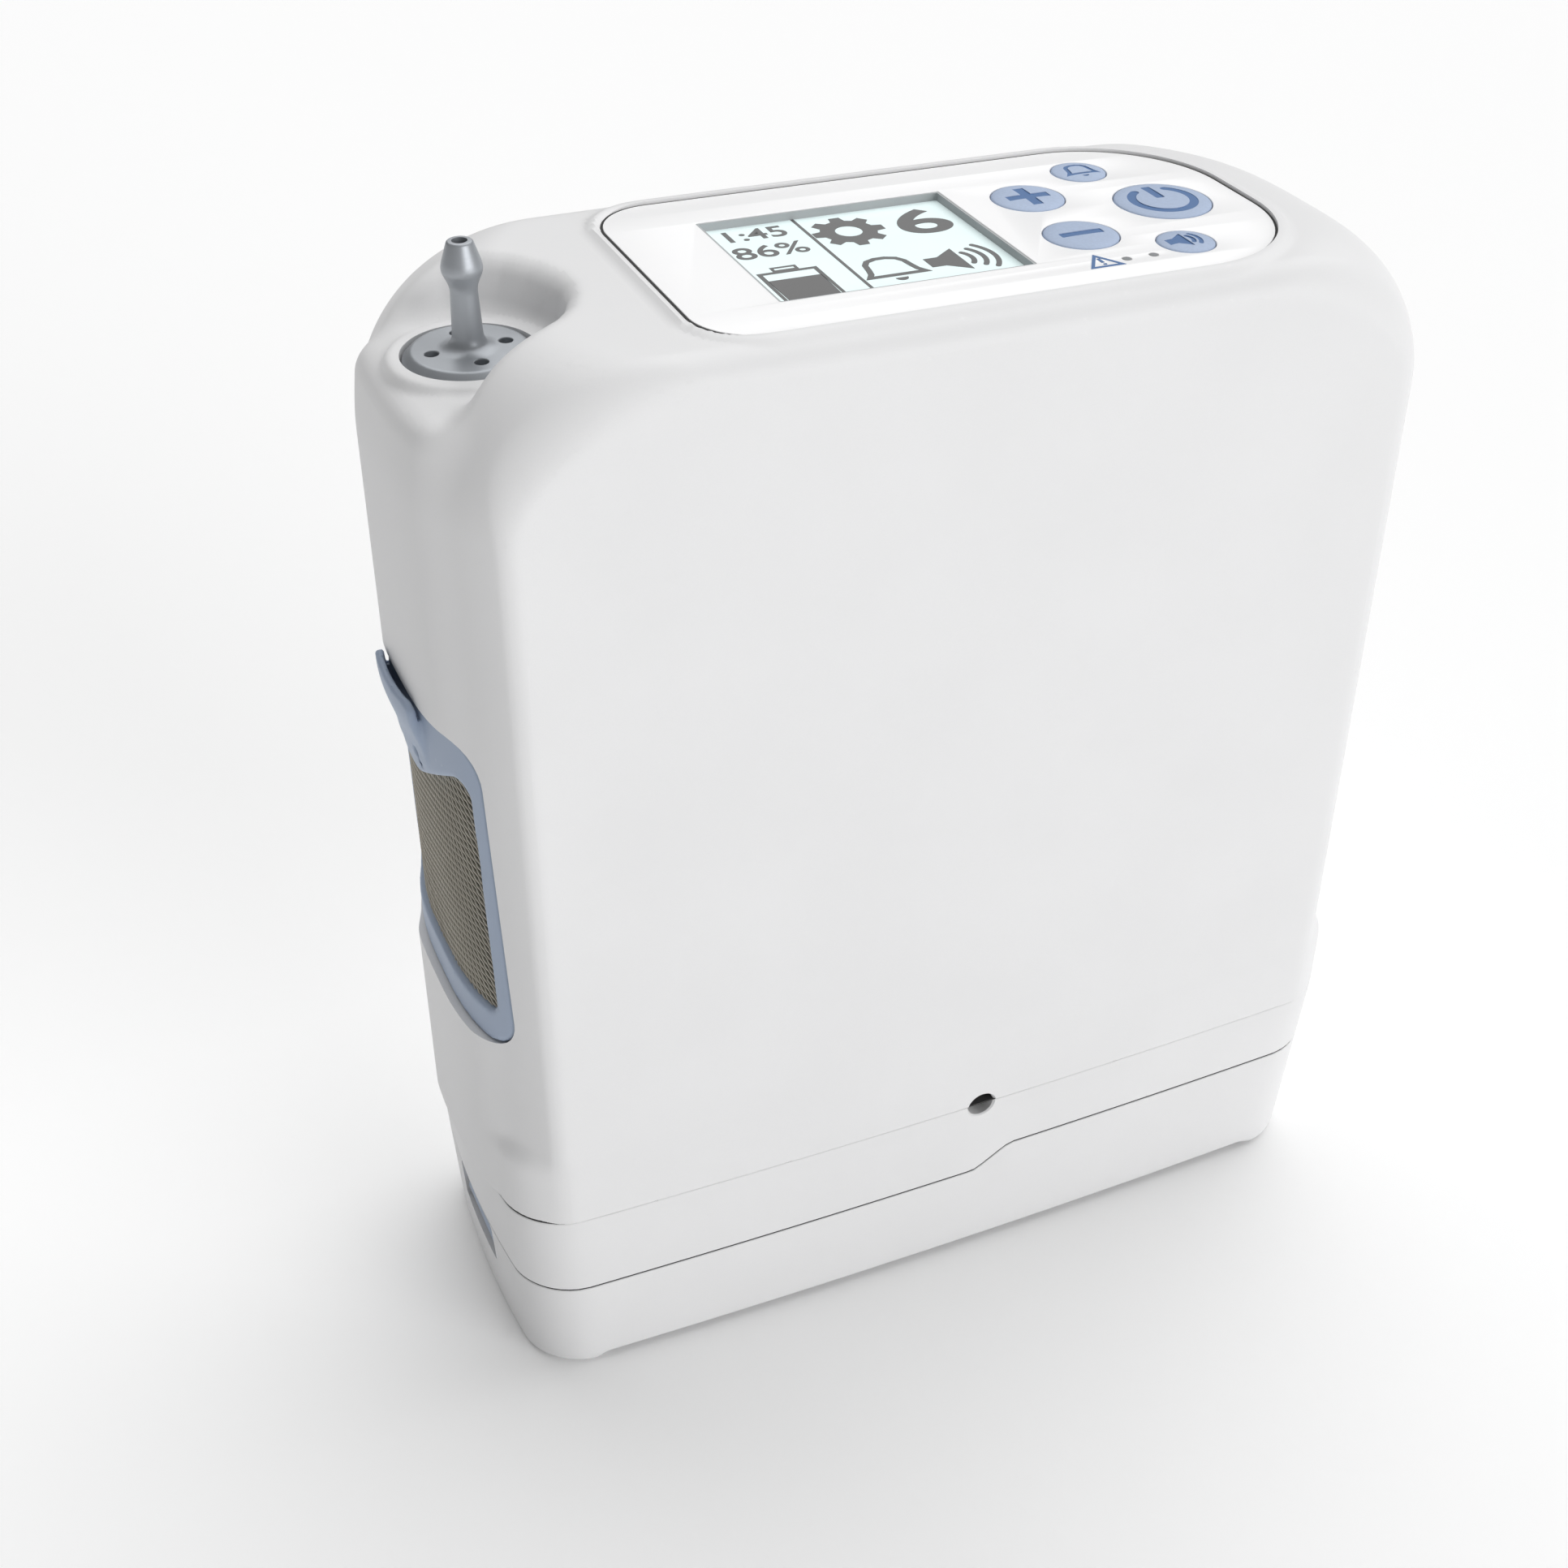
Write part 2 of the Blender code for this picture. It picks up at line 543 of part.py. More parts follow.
# ---------------------------------------------------------------- control panel
def control_panel(panel_frame):
    """Everything on the sloped top, built in the panel's own frame and parented to it."""
    panel = prism("control_panel", "Z", panel_outline(0.0), -PANEL_THICK, 0, "panel")
    cut(panel, box("window", *WINDOW, -10, 10))
    made = [panel]
    for name, (x, y, radius) in BUTTONS.items():
        cut(panel, cylinder(f"{name}_hole", "Z", (x, y), -10, 10, radius))
        cap = radius - 0.25
        profile = [(STEM_END, 2.0), (-2.6, 2.0), (-2.6, radius + 0.7), (-1.6, radius + 0.7), (-1.6, cap),
                   (0.05, cap), (0.35, cap - 1.2)]
        made.append(turned(name, "Z", (x, y), profile, "button", 28))
    (first_x, light_y), (second_x, _) = LIGHTS
    guide = box("light_guide", first_x - 1, second_x + 1, light_y - 1, light_y + 1, -4.8, -3.6,
                "grey_plastic")
    for k, (x, y) in enumerate(LIGHTS, 1):
        cut(panel, cylinder(f"light_{k}_hole", "Z", (x, y), -10, 10, 1.0, sides=16))
        join(guide, cylinder(f"light_post_{k}", "Z", (x, y), -7.2, 0.0, 0.7, None, 12))
    made.append(guide)
    left, right, front, back = WINDOW
    made.append(box("display_module", left - WINDOW_LIP, right + WINDOW_LIP, front - WINDOW_LIP,
                    back + WINDOW_LIP, -5.0, -1.5, "screen"))
    sheet = [(20, -24), (56, -24), (60, -16), (60, 16), (56, 24), (20, 24)]
    keypad = prism("keypad", "Z", sheet, KEYPAD_TOP - 0.7, KEYPAD_TOP, "rubber")
    for name, (x, y, _) in BUTTONS.items():
        profile = [(KEYPAD_TOP - 0.3, 3.4), (KEYPAD_TOP + 0.2, 3.2), (KEYPAD_TOP + 1.0, 2.2)]
        join(keypad, turned(f"{name}_dome", "Z", (x, y), profile, sides=16))
    for k, (x, y) in enumerate(LIGHTS, 1):
        cut(keypad, cylinder(f"keypad_light_{k}", "Z", (x, y), -10, 0, 1.2, sides=12))
    made.append(keypad)
    board = box("display_board", -40, 56, -23, 23, -9.2, -7.6, "board")
    join(board, box("board_driver", -14, -2, -6, 6, -10.6, -9.0),
         box("board_plug", 8, 20, 8, 16, -12.4, -9.0))
    made.append(board)
    for obj in made:
        attach(obj, panel_frame)


# ---------------------------------------------------------------- nozzle and inlet
def nozzle():
    """The barbed outlet on its flange, with four spanner holes and a bore right through."""
    z, top = FLANGE_TOP, NOZZLE_TOP
    seat = z - FLANGE_THICK
    profile = [(z - 10.5, 4.6), (seat, 4.6), (seat, FLANGE_RADIUS), (z - 1.0, FLANGE_RADIUS),
               (z, FLANGE_RADIUS - 1.3), (z, 3.8), (z + 0.9, 2.6), (z + 10.2, 2.2), (z + 11.6, 2.9),
               (z + 12.8, 3.3), (z + 13.8, 3.2), (top - 0.3, 2.2), (top, 2.0)]
    body = turned("outlet_nozzle", "Z", (NOZZLE_X, NOZZLE_Y), profile, "nozzle", 28)
    cut(body, cylinder("nozzle_bore", "Z", (NOZZLE_X, NOZZLE_Y), 180, 230, 1.25, sides=16))
    for k in range(4):
        angle = math.radians(2 + 90 * k)
        at = (NOZZLE_X + SPANNER_RING * math.cos(angle), NOZZLE_Y + SPANNER_RING * math.sin(angle))
        cut(body, cylinder(f"spanner_hole_{k + 1}", "Z", at, z - 1.8, z + 5, 1.15, sides=12))
    tube("nozzle_seal", "Z", (NOZZLE_X, NOZZLE_Y), 193.4, 196.6, 7.4, 5.0, "rubber")


def power_jack():
    jack = box("power_jack", JACK_X - 5, JACK_X + 5, -32.9, -21, JACK_Z - 4.6, JACK_Z + 4.6, "black")
    cut(jack, cylinder("jack_bore", "Y", (JACK_X, JACK_Z), -40, -24.5, JACK_BORE - 0.1, sides=20))
    cut(jack, cylinder("pin_hole", "Y", (JACK_X, JACK_Z), -30, -10, 0.75, sides=12))
    cylinder("jack_pin", "Y", (JACK_X, JACK_Z), -31.5, -19, 0.65, "steel", 12)


# ---------------------------------------------------------------- inner works
def chassis():
    plate = box("chassis", -74, 76, -29, 29, 36.3, 38.3, "aluminium")
    cut(plate, box("jack_relief", JACK_X - 7, JACK_X + 7, -40, -19, 30, 50))
    cut(plate, box("contact_relief", -6, 4, -9, 9, 30, 50))
    for name, near, far in (("front", -27.5, -25.4), ("back", 25.4, 27.5)):
        join(plate, box(f"fan_post_{name}", -77, -62, near, far, 36.5, 136))
    feet = ((-60, -28, 26.3), (-60, 28, 26.3), (62, -25, 31.3), (62, 25, 31.3))
    for k, (x, y, low) in enumerate(feet, 1):
        profile = [(low, 3.3), (low + 1.6, 3.3), (low + 2.4, 2.4), (34.2, 2.4), (35.0, 3.3), (36.0, 3.3)]
        turned(f"vibration_mount_{k}", "Z", (x, y), profile, "rubber", 16)


def compressor():
    """An opposed two-cylinder compressor on one crankshaft, driven by a motor behind it."""
    x, z = CRANK_X, CRANK_Z
    case = box("crankcase", x - 18.5, x + 18.5, -17, 7, z - 20.2, z + 19, "aluminium")
    join(case, cylinder("cylinder_barrel", "X", (-5.0, z), x - 30, x + 30, 14))
    cut(case, cylinder("crank_room", "Y", (x, z), -14.5, 20, 17.2, sides=32))
    cut(case, cylinder("cylinder_bore", "X", (-5.0, z), x - 50, x + 50, PISTON_RADIUS + 0.2))
    cut(case, cylinder("front_bearing", "Y", (x, z), -40, 0, 4.2))
    shaft = cylinder("crankshaft", "Y", (x, z), -16.5, 30.5, 4.1, "steel", 20)
    join(shaft, cylinder("front_eccentric", "Y", (x - CRANK_THROW, z), -11.5, -7.3, 6.8, sides=20))
    join(shaft, cylinder("back_eccentric", "Y", (x + CRANK_THROW, z), -4.7, -0.5, 6.8, sides=20))
    for side, sign, y in (("left", -1, -9.4), ("right", 1, -2.6)):
        crown = sorted((x + sign * 21.5, x + sign * 26.5))
        piston = cylinder(f"piston_{side}", "X", (-5.0, z), *crown, PISTON_RADIUS, "aluminium", 28)
        eye = tube(f"rod_eye_{side}", "Y", (x, z), y - 1.8, y + 1.8, 13.9, 11.9)
        rod = box(f"rod_{side}", *sorted((x + sign * 12.6, x + sign * 22)), y - 1.8, y + 1.8, z - 3, z + 3)
        join(piston, rod, eye)
        head_x = sorted((x + sign * 30.3, x + sign * 37.5))
        head = cylinder(f"cylinder_head_{side}", "X", (-5.0, z), *head_x, 14.8, "aluminium")
        port = cylinder(f"head_port_{side}", "Z", (x + sign * 34, -5.0), z + 10, z + 19, 2.4, sides=12)
        join(head, port)
    tube("motor_stator", "Y", (x, z), 9.4, 29.5, 18.4, 11.2, "steel", 28)
    tube("motor_rotor", "Y", (x, z), 9.8, 28.8, 10.7, 4.4, "black", 20)


def cooling_fan():
    """A square axial fan behind the left filter, blowing along X."""
    centre = (0.0, 112.0)
    frame = box("fan_frame", -79, -66, -25, 25, centre[1] - 25, centre[1] + 25, "black")
    cut(frame, cylinder("fan_duct", "X", centre, -90, -60, 23.4, sides=36))
    spider = cylinder("fan_motor_seat", "X", centre, -68, -66.4, 9.5, sides=20)
    arms = [box("arm_y", -68, -66.4, -24, 24, 110.8, 113.2), box("arm_z", -68, -66.4, -1.2, 1.2, 88, 136)]
    join(frame, spider, *arms)
    rotor = cylinder("fan_rotor", "X", centre, -78, -68.4, 9.5, "grey_plastic", 20)
    for k in range(FAN_BLADES):
        blade = box(f"fan_blade_{k + 1}", -3.9, 3.9, -0.7, 0.7, 8.0, 22.6)
        blade.data.transform(Matrix.Rotation(FAN_TWIST, 4, "Z"))
        blade.data.transform(Matrix.Rotation(2 * math.pi * k / FAN_BLADES, 4, "X"))
        blade.data.transform(Matrix.Translation(Vector((FAN_MIDDLE, *centre)) * MM))
        join(rotor, blade)


def gas_path():
    """Sieve columns between two manifolds, with the valves below and the product tank beside them."""
    for k, x in enumerate((33.0, 63.5), 1):
        profile = [(86.3, 13.4), (87.3, 14.4), (177.0, 14.4), (178.0, 13.4)]
        turned(f"sieve_column_{k}", "Z", (x, 0.0), profile, "aluminium", 28)
    box("lower_manifold", 17.5, 79, -15, 15, 78.6, 86, "grey_plastic")
    high = box("upper_manifold", 17.5, 79, -15, 15, 178.3, 185.5, "grey_plastic")
    join(high, cylinder("outlet_stub", "X", (8.0, 182.0), 10, 18, 2.2, sides=12))
    profile = [(90, 9), (93, 12), (172, 12), (175, 9), (175, 2.4), (183, 2.4)]
    turned("product_tank", "Z", (0.5, 12.0), profile, "grey_plastic", 24)
    box("valve_block", 28, 72, -13, 13, 39.0, 54, "aluminium")
    profile = [(54.3, 8.6), (72, 8.6), (72, 3), (75.5, 3)]
    for k, x in enumerate((38.5, 61.5), 1):
        turned(f"solenoid_valve_{k}", "Z", (x, 0.0), profile, "steel", 20)


def hose(name, route, radius, look):
    """A bent hose through millimetre points, smoothed by a Catmull-Rom curve."""
    points = [Vector(p) for p in route]
    ends = [2 * points[0] - points[1], *points, 2 * points[-1] - points[-2]]
    curve = bpy.data.curves.new(name, "CURVE")
    curve.dimensions = "3D"
    curve.bevel_depth = radius * MM
    curve.bevel_resolution = 1
    curve.use_fill_caps = True
    samples = []
    for a, b, c, d in zip(ends, ends[1:], ends[2:], ends[3:]):
        for k in range(4):
            t = k / 4
            samples.append(0.5 * (2 * b + (c - a) * t + (2 * a - 5 * b + 4 * c - d) * t**2
                                  + (3 * b - a - 3 * c + d) * t**3))
    samples.append(points[-1])
    line = curve.splines.new("POLY")
    line.points.add(len(samples) - 1)
    for point, at in zip(line.points, samples):
        point.co = (*(at * MM), 1)
    obj = bpy.data.objects.new(name, curve)
    bpy.context.scene.collection.objects.link(obj)
    obj.data.materials.append(material(look))


def electronics():
    board = box("main_board", -52, 12, -31.0, -29.4, 92, 182, "board")
    join(board, cylinder("board_capacitor", "Y", (-38, 104), -29.8, -19, 6),
         box("board_choke", -14, 2, -29.8, -22, 98, 112),
         box("board_processor", -34, -20, -29.8, -27.6, 140, 154),
         box("board_socket", -10, 6, -29.8, -25, 166, 172))
    profile = [(186, 7.5), (191.5, 7.5), (191.5, 2), (192.5, 2)]
    turned("alarm_buzzer", "Z", (-34.0, -14.0), profile, "black", 20)
    route = [(0.5, 12, 184.0), (0.5, 12, 187), (-12, 10, 190), (-45, 4, 188), (-68, 1, 183), (-75, 0, 187),
             (-75, 0, 192.2)]
    hose("outlet_hose", route, 2.0, "rubber")


def main():
    clear_scene()
    panel_frame = bpy.data.objects.new("panel_frame", None)
    bpy.context.scene.collection.objects.link(panel_frame)
    panel_frame.location = (0, 0, PANEL_Z * MM)
    panel_frame.rotation_euler = (0, math.atan(TOP_SLOPE), 0)
    upper_housing(panel_frame)
    lower_housing()
    battery_case()
    battery_lid()
    battery_inside()
    power_blades()
    battery_latch()
    coil("latch_spring", -84.0, 0.0, 8.2, 16.9, 2.0, 0.3, 5, "steel")
    control_panel(panel_frame)
    for side, sign in (("left", -1), ("right", 1)):
        end_filter(side, sign)
    nozzle()
    power_jack()
    chassis()
    compressor()
    cooling_fan()
    gas_path()
    electronics()


main()
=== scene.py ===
# %% [markdown]
# # A portable oxygen concentrator
# The device is a tall moulded body that stands on a slide-off battery. A barbed outlet sits in a
# scoop at one end, a glossy panel with a display and five soft buttons covers the top, and a
# snap-in filter with a pull tab closes each end. The solids already exist; this lesson gives
# each visible one its finished surface and leaves every position as it is.

# %% Load the solids and measure them
import math

import bmesh
import bpy
import numpy as np
from mathutils import Matrix, Vector


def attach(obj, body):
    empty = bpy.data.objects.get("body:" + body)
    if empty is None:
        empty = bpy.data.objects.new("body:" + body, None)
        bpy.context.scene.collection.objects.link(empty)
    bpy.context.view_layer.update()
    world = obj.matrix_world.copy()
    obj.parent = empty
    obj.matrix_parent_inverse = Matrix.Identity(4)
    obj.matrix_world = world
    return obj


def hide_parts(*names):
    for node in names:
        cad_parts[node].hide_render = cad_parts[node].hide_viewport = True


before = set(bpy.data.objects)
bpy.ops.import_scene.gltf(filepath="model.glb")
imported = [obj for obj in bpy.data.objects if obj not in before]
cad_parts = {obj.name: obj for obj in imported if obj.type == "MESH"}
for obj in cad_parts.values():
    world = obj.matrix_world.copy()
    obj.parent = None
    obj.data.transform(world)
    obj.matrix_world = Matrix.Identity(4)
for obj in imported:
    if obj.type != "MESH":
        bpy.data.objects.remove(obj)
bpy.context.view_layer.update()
MM = 0.001

# %% [markdown]
# ## Shader arithmetic
# A pattern in a material is a chain of small sums. Writing them as Python expressions is easier to
# read than placing nodes, so a Link wraps a socket and each operator adds the Math node it means.
# Every other node comes from Finish.node, which takes the node's type, its settings and its inputs.


# %% A socket that can be added, multiplied and compared
class Link:
    def __init__(self, finish, socket):
        self.finish, self.socket = finish, socket

    def maths(self, operation, other=None, flipped=False):
        values = [self] if other is None else [self, other]
        if flipped:
            values.reverse()
        return self.finish.node("ShaderNodeMath", {"operation": operation}, dict(enumerate(values)))

    def __add__(self, other):
        return self.maths("ADD", other)

    def __sub__(self, other):
        return self.maths("SUBTRACT", other)

    def __mul__(self, other):
        return self.maths("MULTIPLY", other)

    def __rsub__(self, other):
        return self.maths("SUBTRACT", other, flipped=True)

    __radd__, __rmul__ = __add__, __mul__


# %% A material with one general way of adding a node
class Finish:
    def __init__(self, name, colour, roughness, **fixed):
        self.material = bpy.data.materials.new(name)
        self.material.use_nodes = True
        self.tree = self.material.node_tree
        self.shader = self.tree.nodes["Principled BSDF"]
        self.set("Base Color", (*colour, 1))
        self.set("Roughness", roughness)
        for socket, value in fixed.items():
            self.set(socket.replace("_", " ").title().replace("Ior", "IOR"), value)
        self.colour = colour
        self.place = self.node("ShaderNodeTexCoord", out="Object")

    def node(self, kind, settings=(), sockets=(), out=0):
        made = self.tree.nodes.new(kind)
        for key, value in dict(settings).items():
            if key != "stops":
                setattr(made, key, value)
                continue
            first = made.color_ramp.elements
            while len(first) > 1:
                first.remove(first[-1])
            first[0].position, first[0].color = value[0][0], (*value[0][1], 1)
            for at, shade in value[1:]:
                first.new(at).color = (*shade, 1)
        for key, value in dict(sockets).items():
            self.connect(made.inputs[key], value)
        return Link(self, made.outputs[out])

    def connect(self, socket, value):
        if isinstance(value, Link):
            self.tree.links.new(value.socket, socket)
        else:
            socket.default_value = value

    def set(self, socket, value):
        self.connect(self.shader.inputs[socket], value)

    def noise(self, size, detail=2.0, stretch=(1, 1, 1)):
        """Noise with features about size metres across."""
        place = self.place
        if stretch != (1, 1, 1):
            place = self.node("ShaderNodeMapping", {}, {"Vector": self.place, "Scale": stretch})
        return self.node("ShaderNodeTexNoise", {}, {"Vector": place, "Scale": 1 / size, "Detail": detail})

    def shade(self, mask, low, high):
        """The base colour runs between two tints as mask goes from 0.3 to 0.7."""
        stops = [(0.3, [c * low for c in self.colour]), (0.7, [min(c * high, 1) for c in self.colour])]
        self.set("Base Color", self.node("ShaderNodeValToRGB", {"stops": stops}, {"Fac": mask}))

    def bump(self, height, depth):
        sockets = {"Height": height, "Distance": depth, "Strength": 1.0}
        self.set("Normal", self.node("ShaderNodeBump", {}, sockets))


# %% [markdown]
# ## Moulded plastics
# The shell is a fine spark-eroded texture: close up it is a field of tiny rounded dimples, and at
# arm's length it only softens the highlights. Two noises do it: one with a grain of a quarter of a
# millimetre for the bump, and one some centimetres wide that shifts the gloss and tone a little, the
# way flow and handling do. The same recipe, with other numbers, gives all the other plastics.


# %% One recipe for every moulded plastic
def moulded(name, colour, roughness, grain=0.25, depth=0.006, uneven=0.04, tone=0.012, **fixed):
    finish = Finish(name, colour, roughness, **fixed)
    broad = finish.noise(28 * MM, 3.0)
    fine = finish.noise(grain * MM, 1.0)
    finish.shade(broad + (fine - 0.5) * 0.5, 1 - tone, 1 + tone)
    finish.set("Roughness", roughness + (broad - 0.5) * uneven + (fine - 0.5) * uneven)
    finish.bump(fine, depth * MM)
    return finish.material


shell_white = moulded("shell_white", (0.765, 0.765, 0.77), 0.50)
panel_film = moulded("panel_film", (0.975, 0.975, 0.98), 0.34, grain=0.12, depth=0.002, tone=0.006)
button_soft = moulded("button_soft", (0.40, 0.49, 0.66), 0.58, grain=0.5, depth=0.01, tone=0.07)
icon_blue = moulded("icon_blue", (0.030, 0.125, 0.33), 0.45, grain=0.2, depth=0.003, tone=0.05)
frame_blue = moulded("frame_blue", (0.34, 0.41, 0.53), 0.48, grain=0.3, depth=0.006, tone=0.02)
ink_grey = moulded("ink_grey", (0.125, 0.125, 0.125), 0.5, grain=0.2, depth=0.001, tone=0.03)
dot_grey = moulded("dot_grey", (0.36, 0.36, 0.36), 0.4, grain=0.2, depth=0.001)
black_plastic = moulded("black_plastic", (0.016, 0.016, 0.017), 0.45, grain=0.3)
rubber_black = moulded("rubber_black", (0.03, 0.03, 0.03), 0.8, grain=0.4, depth=0.012)
works_grey = moulded("works_grey", (0.22, 0.23, 0.24), 0.6, grain=0.35, depth=0.01, tone=0.03)
recess_grey = moulded("recess_grey", (0.40, 0.42, 0.43), 0.5, grain=0.2, depth=0.002)
print("plastics made")

# %% [markdown]
# ## Metals, boards and the display
# The outlet is satin-plated metal: a metallic shader with fine turning marks, which are rings of
# noise squeezed along the axis. The works inside are cast, drawn or sheet metal, so they share a
# recipe with a coarser grain. The display is backlit, so it gives off a little light of its own.


# %% Metals and the remaining finishes
def metal(name, colour, roughness, stretch, size, metallic=1.0, depth=0.004):
    finish = Finish(name, colour, roughness, metallic=metallic)
    lines = finish.noise(size * MM, 2.0, stretch)
    broad = finish.noise(15 * MM, 2.0)
    finish.shade(broad, 0.94, 1.05)
    finish.set("Roughness", roughness + (lines - 0.5) * 0.15 + (broad - 0.5) * 0.06)
    finish.bump(lines, depth * MM)
    return finish.material


def circuit_board():
    """Green solder mask with copper runs, which are the dark bands of a brick pattern."""
    finish = Finish("circuit_board", (0.02, 0.17, 0.08), 0.42, coat_weight=0.3)
    place = finish.node("ShaderNodeMapping", {}, {"Vector": finish.place, "Rotation": (1.5708, 0, 0)})
    runs = finish.node("ShaderNodeTexBrick", {}, {"Vector": place, "Scale": 160.0, "Mortar Size": 0.012},
                       out="Fac")
    finish.shade(0.7 - runs * 0.4, 0.8, 1.7)
    finish.bump(runs, 0.02 * MM)
    return finish.material


def cell_wrap():
    finish = Finish("cell_wrap", (0.05, 0.20, 0.42), 0.38)
    creases = finish.noise(3 * MM, 3.0, (0.25, 1, 1))
    finish.shade(creases, 0.9, 1.1)
    finish.bump(creases, 0.03 * MM)
    return finish.material


def display_light():
    finish = Finish("display_light", (0.80, 0.93, 0.93), 0.16, emission_strength=0.22)
    haze = finish.noise(22 * MM, 2.0)
    finish.shade(haze, 0.985, 1.01)
    finish.set("Emission Color", finish.node("ShaderNodeValToRGB", {"stops": [
        (0.3, (0.84, 0.97, 0.97)), (0.7, (0.90, 1.0, 1.0))]}, {"Fac": haze}))
    return finish.material


plated = metal("plated", (0.36, 0.38, 0.405), 0.42, (1, 1, 9), 2.5, metallic=0.55, depth=0.002)
cast_metal = metal("cast_metal", (0.60, 0.61, 0.63), 0.40, (1, 1, 1), 0.6, metallic=0.9)
steel_metal = metal("steel_metal", (0.52, 0.52, 0.53), 0.30, (1, 8, 1), 1.5)
board_green, cell_blue, display_glow = circuit_board(), cell_wrap(), display_light()
print("metals, board, cell and display made")

# %% [markdown]
# ## Shapes from distances
# The body has no sharp edges: flats, crowned faces, the shoulders and the scoop all melt into each
# other. Modelling that with bevels would fight itself where three rounds meet. Instead each surface
# is a distance function, negative inside, and two helpers join them: both() keeps what is inside
# two shapes with a true fillet between them, and merged() adds two shapes with a soft crease. A net of
# quads is then drawn where the total is zero, and each of its points is slid onto the surface.


# %% Ways to join distances
def both(a, b, radius):
    inner = np.minimum(np.maximum(a, b), -radius)
    return inner + np.hypot(np.maximum(a + radius, 0), np.maximum(b + radius, 0))


def merged(a, b, reach):
    share = np.clip(0.5 + 0.5 * (b - a) / reach, 0, 1)
    return b + (a - b) * share - reach * share * (1 - share)


def ease(value, low, high):
    t = np.clip((value - low) / (high - low), 0, 1)
    return t * t * (3 - 2 * t)


def rounded_box(u, v, half_u, half_v, radius):
    """Distance to a rectangle with rounded corners, centred on zero."""
    past_u, past_v = np.abs(u) - half_u + radius, np.abs(v) - half_v + radius
    corner = np.hypot(np.maximum(past_u, 0), np.maximum(past_v, 0))
    return corner + np.minimum(np.maximum(past_u, past_v), 0) - radius


def outline_distance(x, y, points):
    """Distance to a closed outline, negative inside."""
    best, crossings = np.inf, 0
    for (ax, ay), (bx, by) in zip(points, points[1:] + points[:1]):
        dx, dy = bx - ax, by - ay
        t = np.clip(((x - ax) * dx + (y - ay) * dy) / (dx * dx + dy * dy), 0, 1)
        best = np.minimum(best, (x - ax - t * dx) ** 2 + (y - ay - t * dy) ** 2)
        beside = (ay <= y) != (by <= y)
        crossings = crossings + (beside & (x < ax + (y - ay) * dx / (dy or 1e-9)))
    return np.sqrt(best) * np.where(crossings % 2 == 1, -1, 1)


# %% A mesh where a distance is zero
def new_object(name, verts, faces, material, smooth=True):
    """An object from millimetre points, at the origin, with its faces pointing outwards."""
    mesh = bpy.data.meshes.new(name)
    mesh.from_pydata(np.asarray(verts, float) * MM, [], [tuple(f) for f in faces])
    mesh.materials.append(material)
    obj = bpy.data.objects.new(name, mesh)
    bpy.context.scene.collection.objects.link(obj)
    if smooth:
        mesh.shade_smooth()
    return obj


def surface_net(name, field, xs, ys, zs, material):
    grids = [np.asarray(g, float) for g in (xs, ys, zs)]
    value = field(grids[0][:, None, None], grids[1][None, :, None], grids[2][None, None, :])
    inside = value < 0
    cells_x, cells_y, cells_z = (length - 1 for length in value.shape)
    corners = sum(inside[i:i + cells_x, j:j + cells_y, k:k + cells_z].astype(int)
                  for i in (0, 1) for j in (0, 1) for k in (0, 1))
    mixed = (corners > 0) & (corners < 8)
    index = np.full(mixed.shape, -1)
    index[mixed] = np.arange(mixed.sum())
    cells = np.argwhere(mixed)
    low = np.stack([g[cells[:, a]] for a, g in enumerate(grids)], 1)
    high = np.stack([g[cells[:, a] + 1] for a, g in enumerate(grids)], 1)
    points = (low + high) / 2
    margin = (high - low) * 0.1
    for _ in range(6):
        here = field(*points.T)
        slope = np.stack([(field(*(points + step).T) - field(*(points - step).T)) / 0.02
                          for step in np.eye(3) * 0.01], 1)
        points = points - slope * (here / np.maximum((slope**2).sum(1), 0.05))[:, None]
        points = np.clip(points, low - margin, high + margin)
    faces = []
    for axis in range(3):
        u, v = (axis + 1) % 3, (axis + 2) % 3
        length = value.shape[axis]
        start, end = np.take(inside, range(length - 1), axis), np.take(inside, range(1, length), axis)
        at = np.argwhere(start != end)
        last_u, last_v = value.shape[u] - 1, value.shape[v] - 1
        at = at[(at[:, u] > 0) & (at[:, v] > 0) & (at[:, u] < last_u) & (at[:, v] < last_v)]
        outwards = start[tuple(at.T)]
        quad = []
        for du, dv in ((1, 1), (0, 1), (0, 0), (1, 0)):
            cell = at.copy()
            cell[:, u] -= du
            cell[:, v] -= dv
            quad.append(index[tuple(cell.T)])
        quad = np.stack(quad, 1)
        faces.append(np.where(outwards[:, None], quad, quad[:, ::-1]))
    obj = new_object(name, points, np.concatenate(faces).tolist(), material)
    print(name, len(points), "points,", sum(len(f) for f in faces), "quads")
    return obj


# %% [markdown]
# ## The upper shell
# The shell's plan is crowned on its long faces and swept back hard towards the corners at its ends,
# so each end face is a wide facet with a crisp but soft-edged border. That facet starts a little
# above the seam, over a plumper base. The shoulders are big rounds that run into a gently falling
# top, and a low rim stands round the control panel.

# %% The body's own surfaces
HALF_LENGTH, HALF_DEPTH, CROWN = 91.5, 36.0, 1.9
SWEEP, SWEEP_FAR = 2.449e-4, 2.15e-4
SLOPE = 0.022
PANEL_Z, RIM_RISE, TOP_Z = 209.4, 0.75, 209.15
SEAM_TOP, BAND_TOP = 42.65, 42.35
INLET = (5.1, 42.2)
PANEL_LEFT, PANEL_RIGHT, PANEL_HALF = -46.0, 64.0, 29.0


def end_sweep(x, y):
    """How far the end facets curve back, a little less at the outlet's far corner."""
    return np.where((x < 0) & (y > 0), SWEEP_FAR, SWEEP) * np.abs(y) ** 3


def facet(y):
    """How far from the middle an end facet lies at y, where the filters sit."""
    return HALF_LENGTH - SWEEP * np.abs(y) ** 3


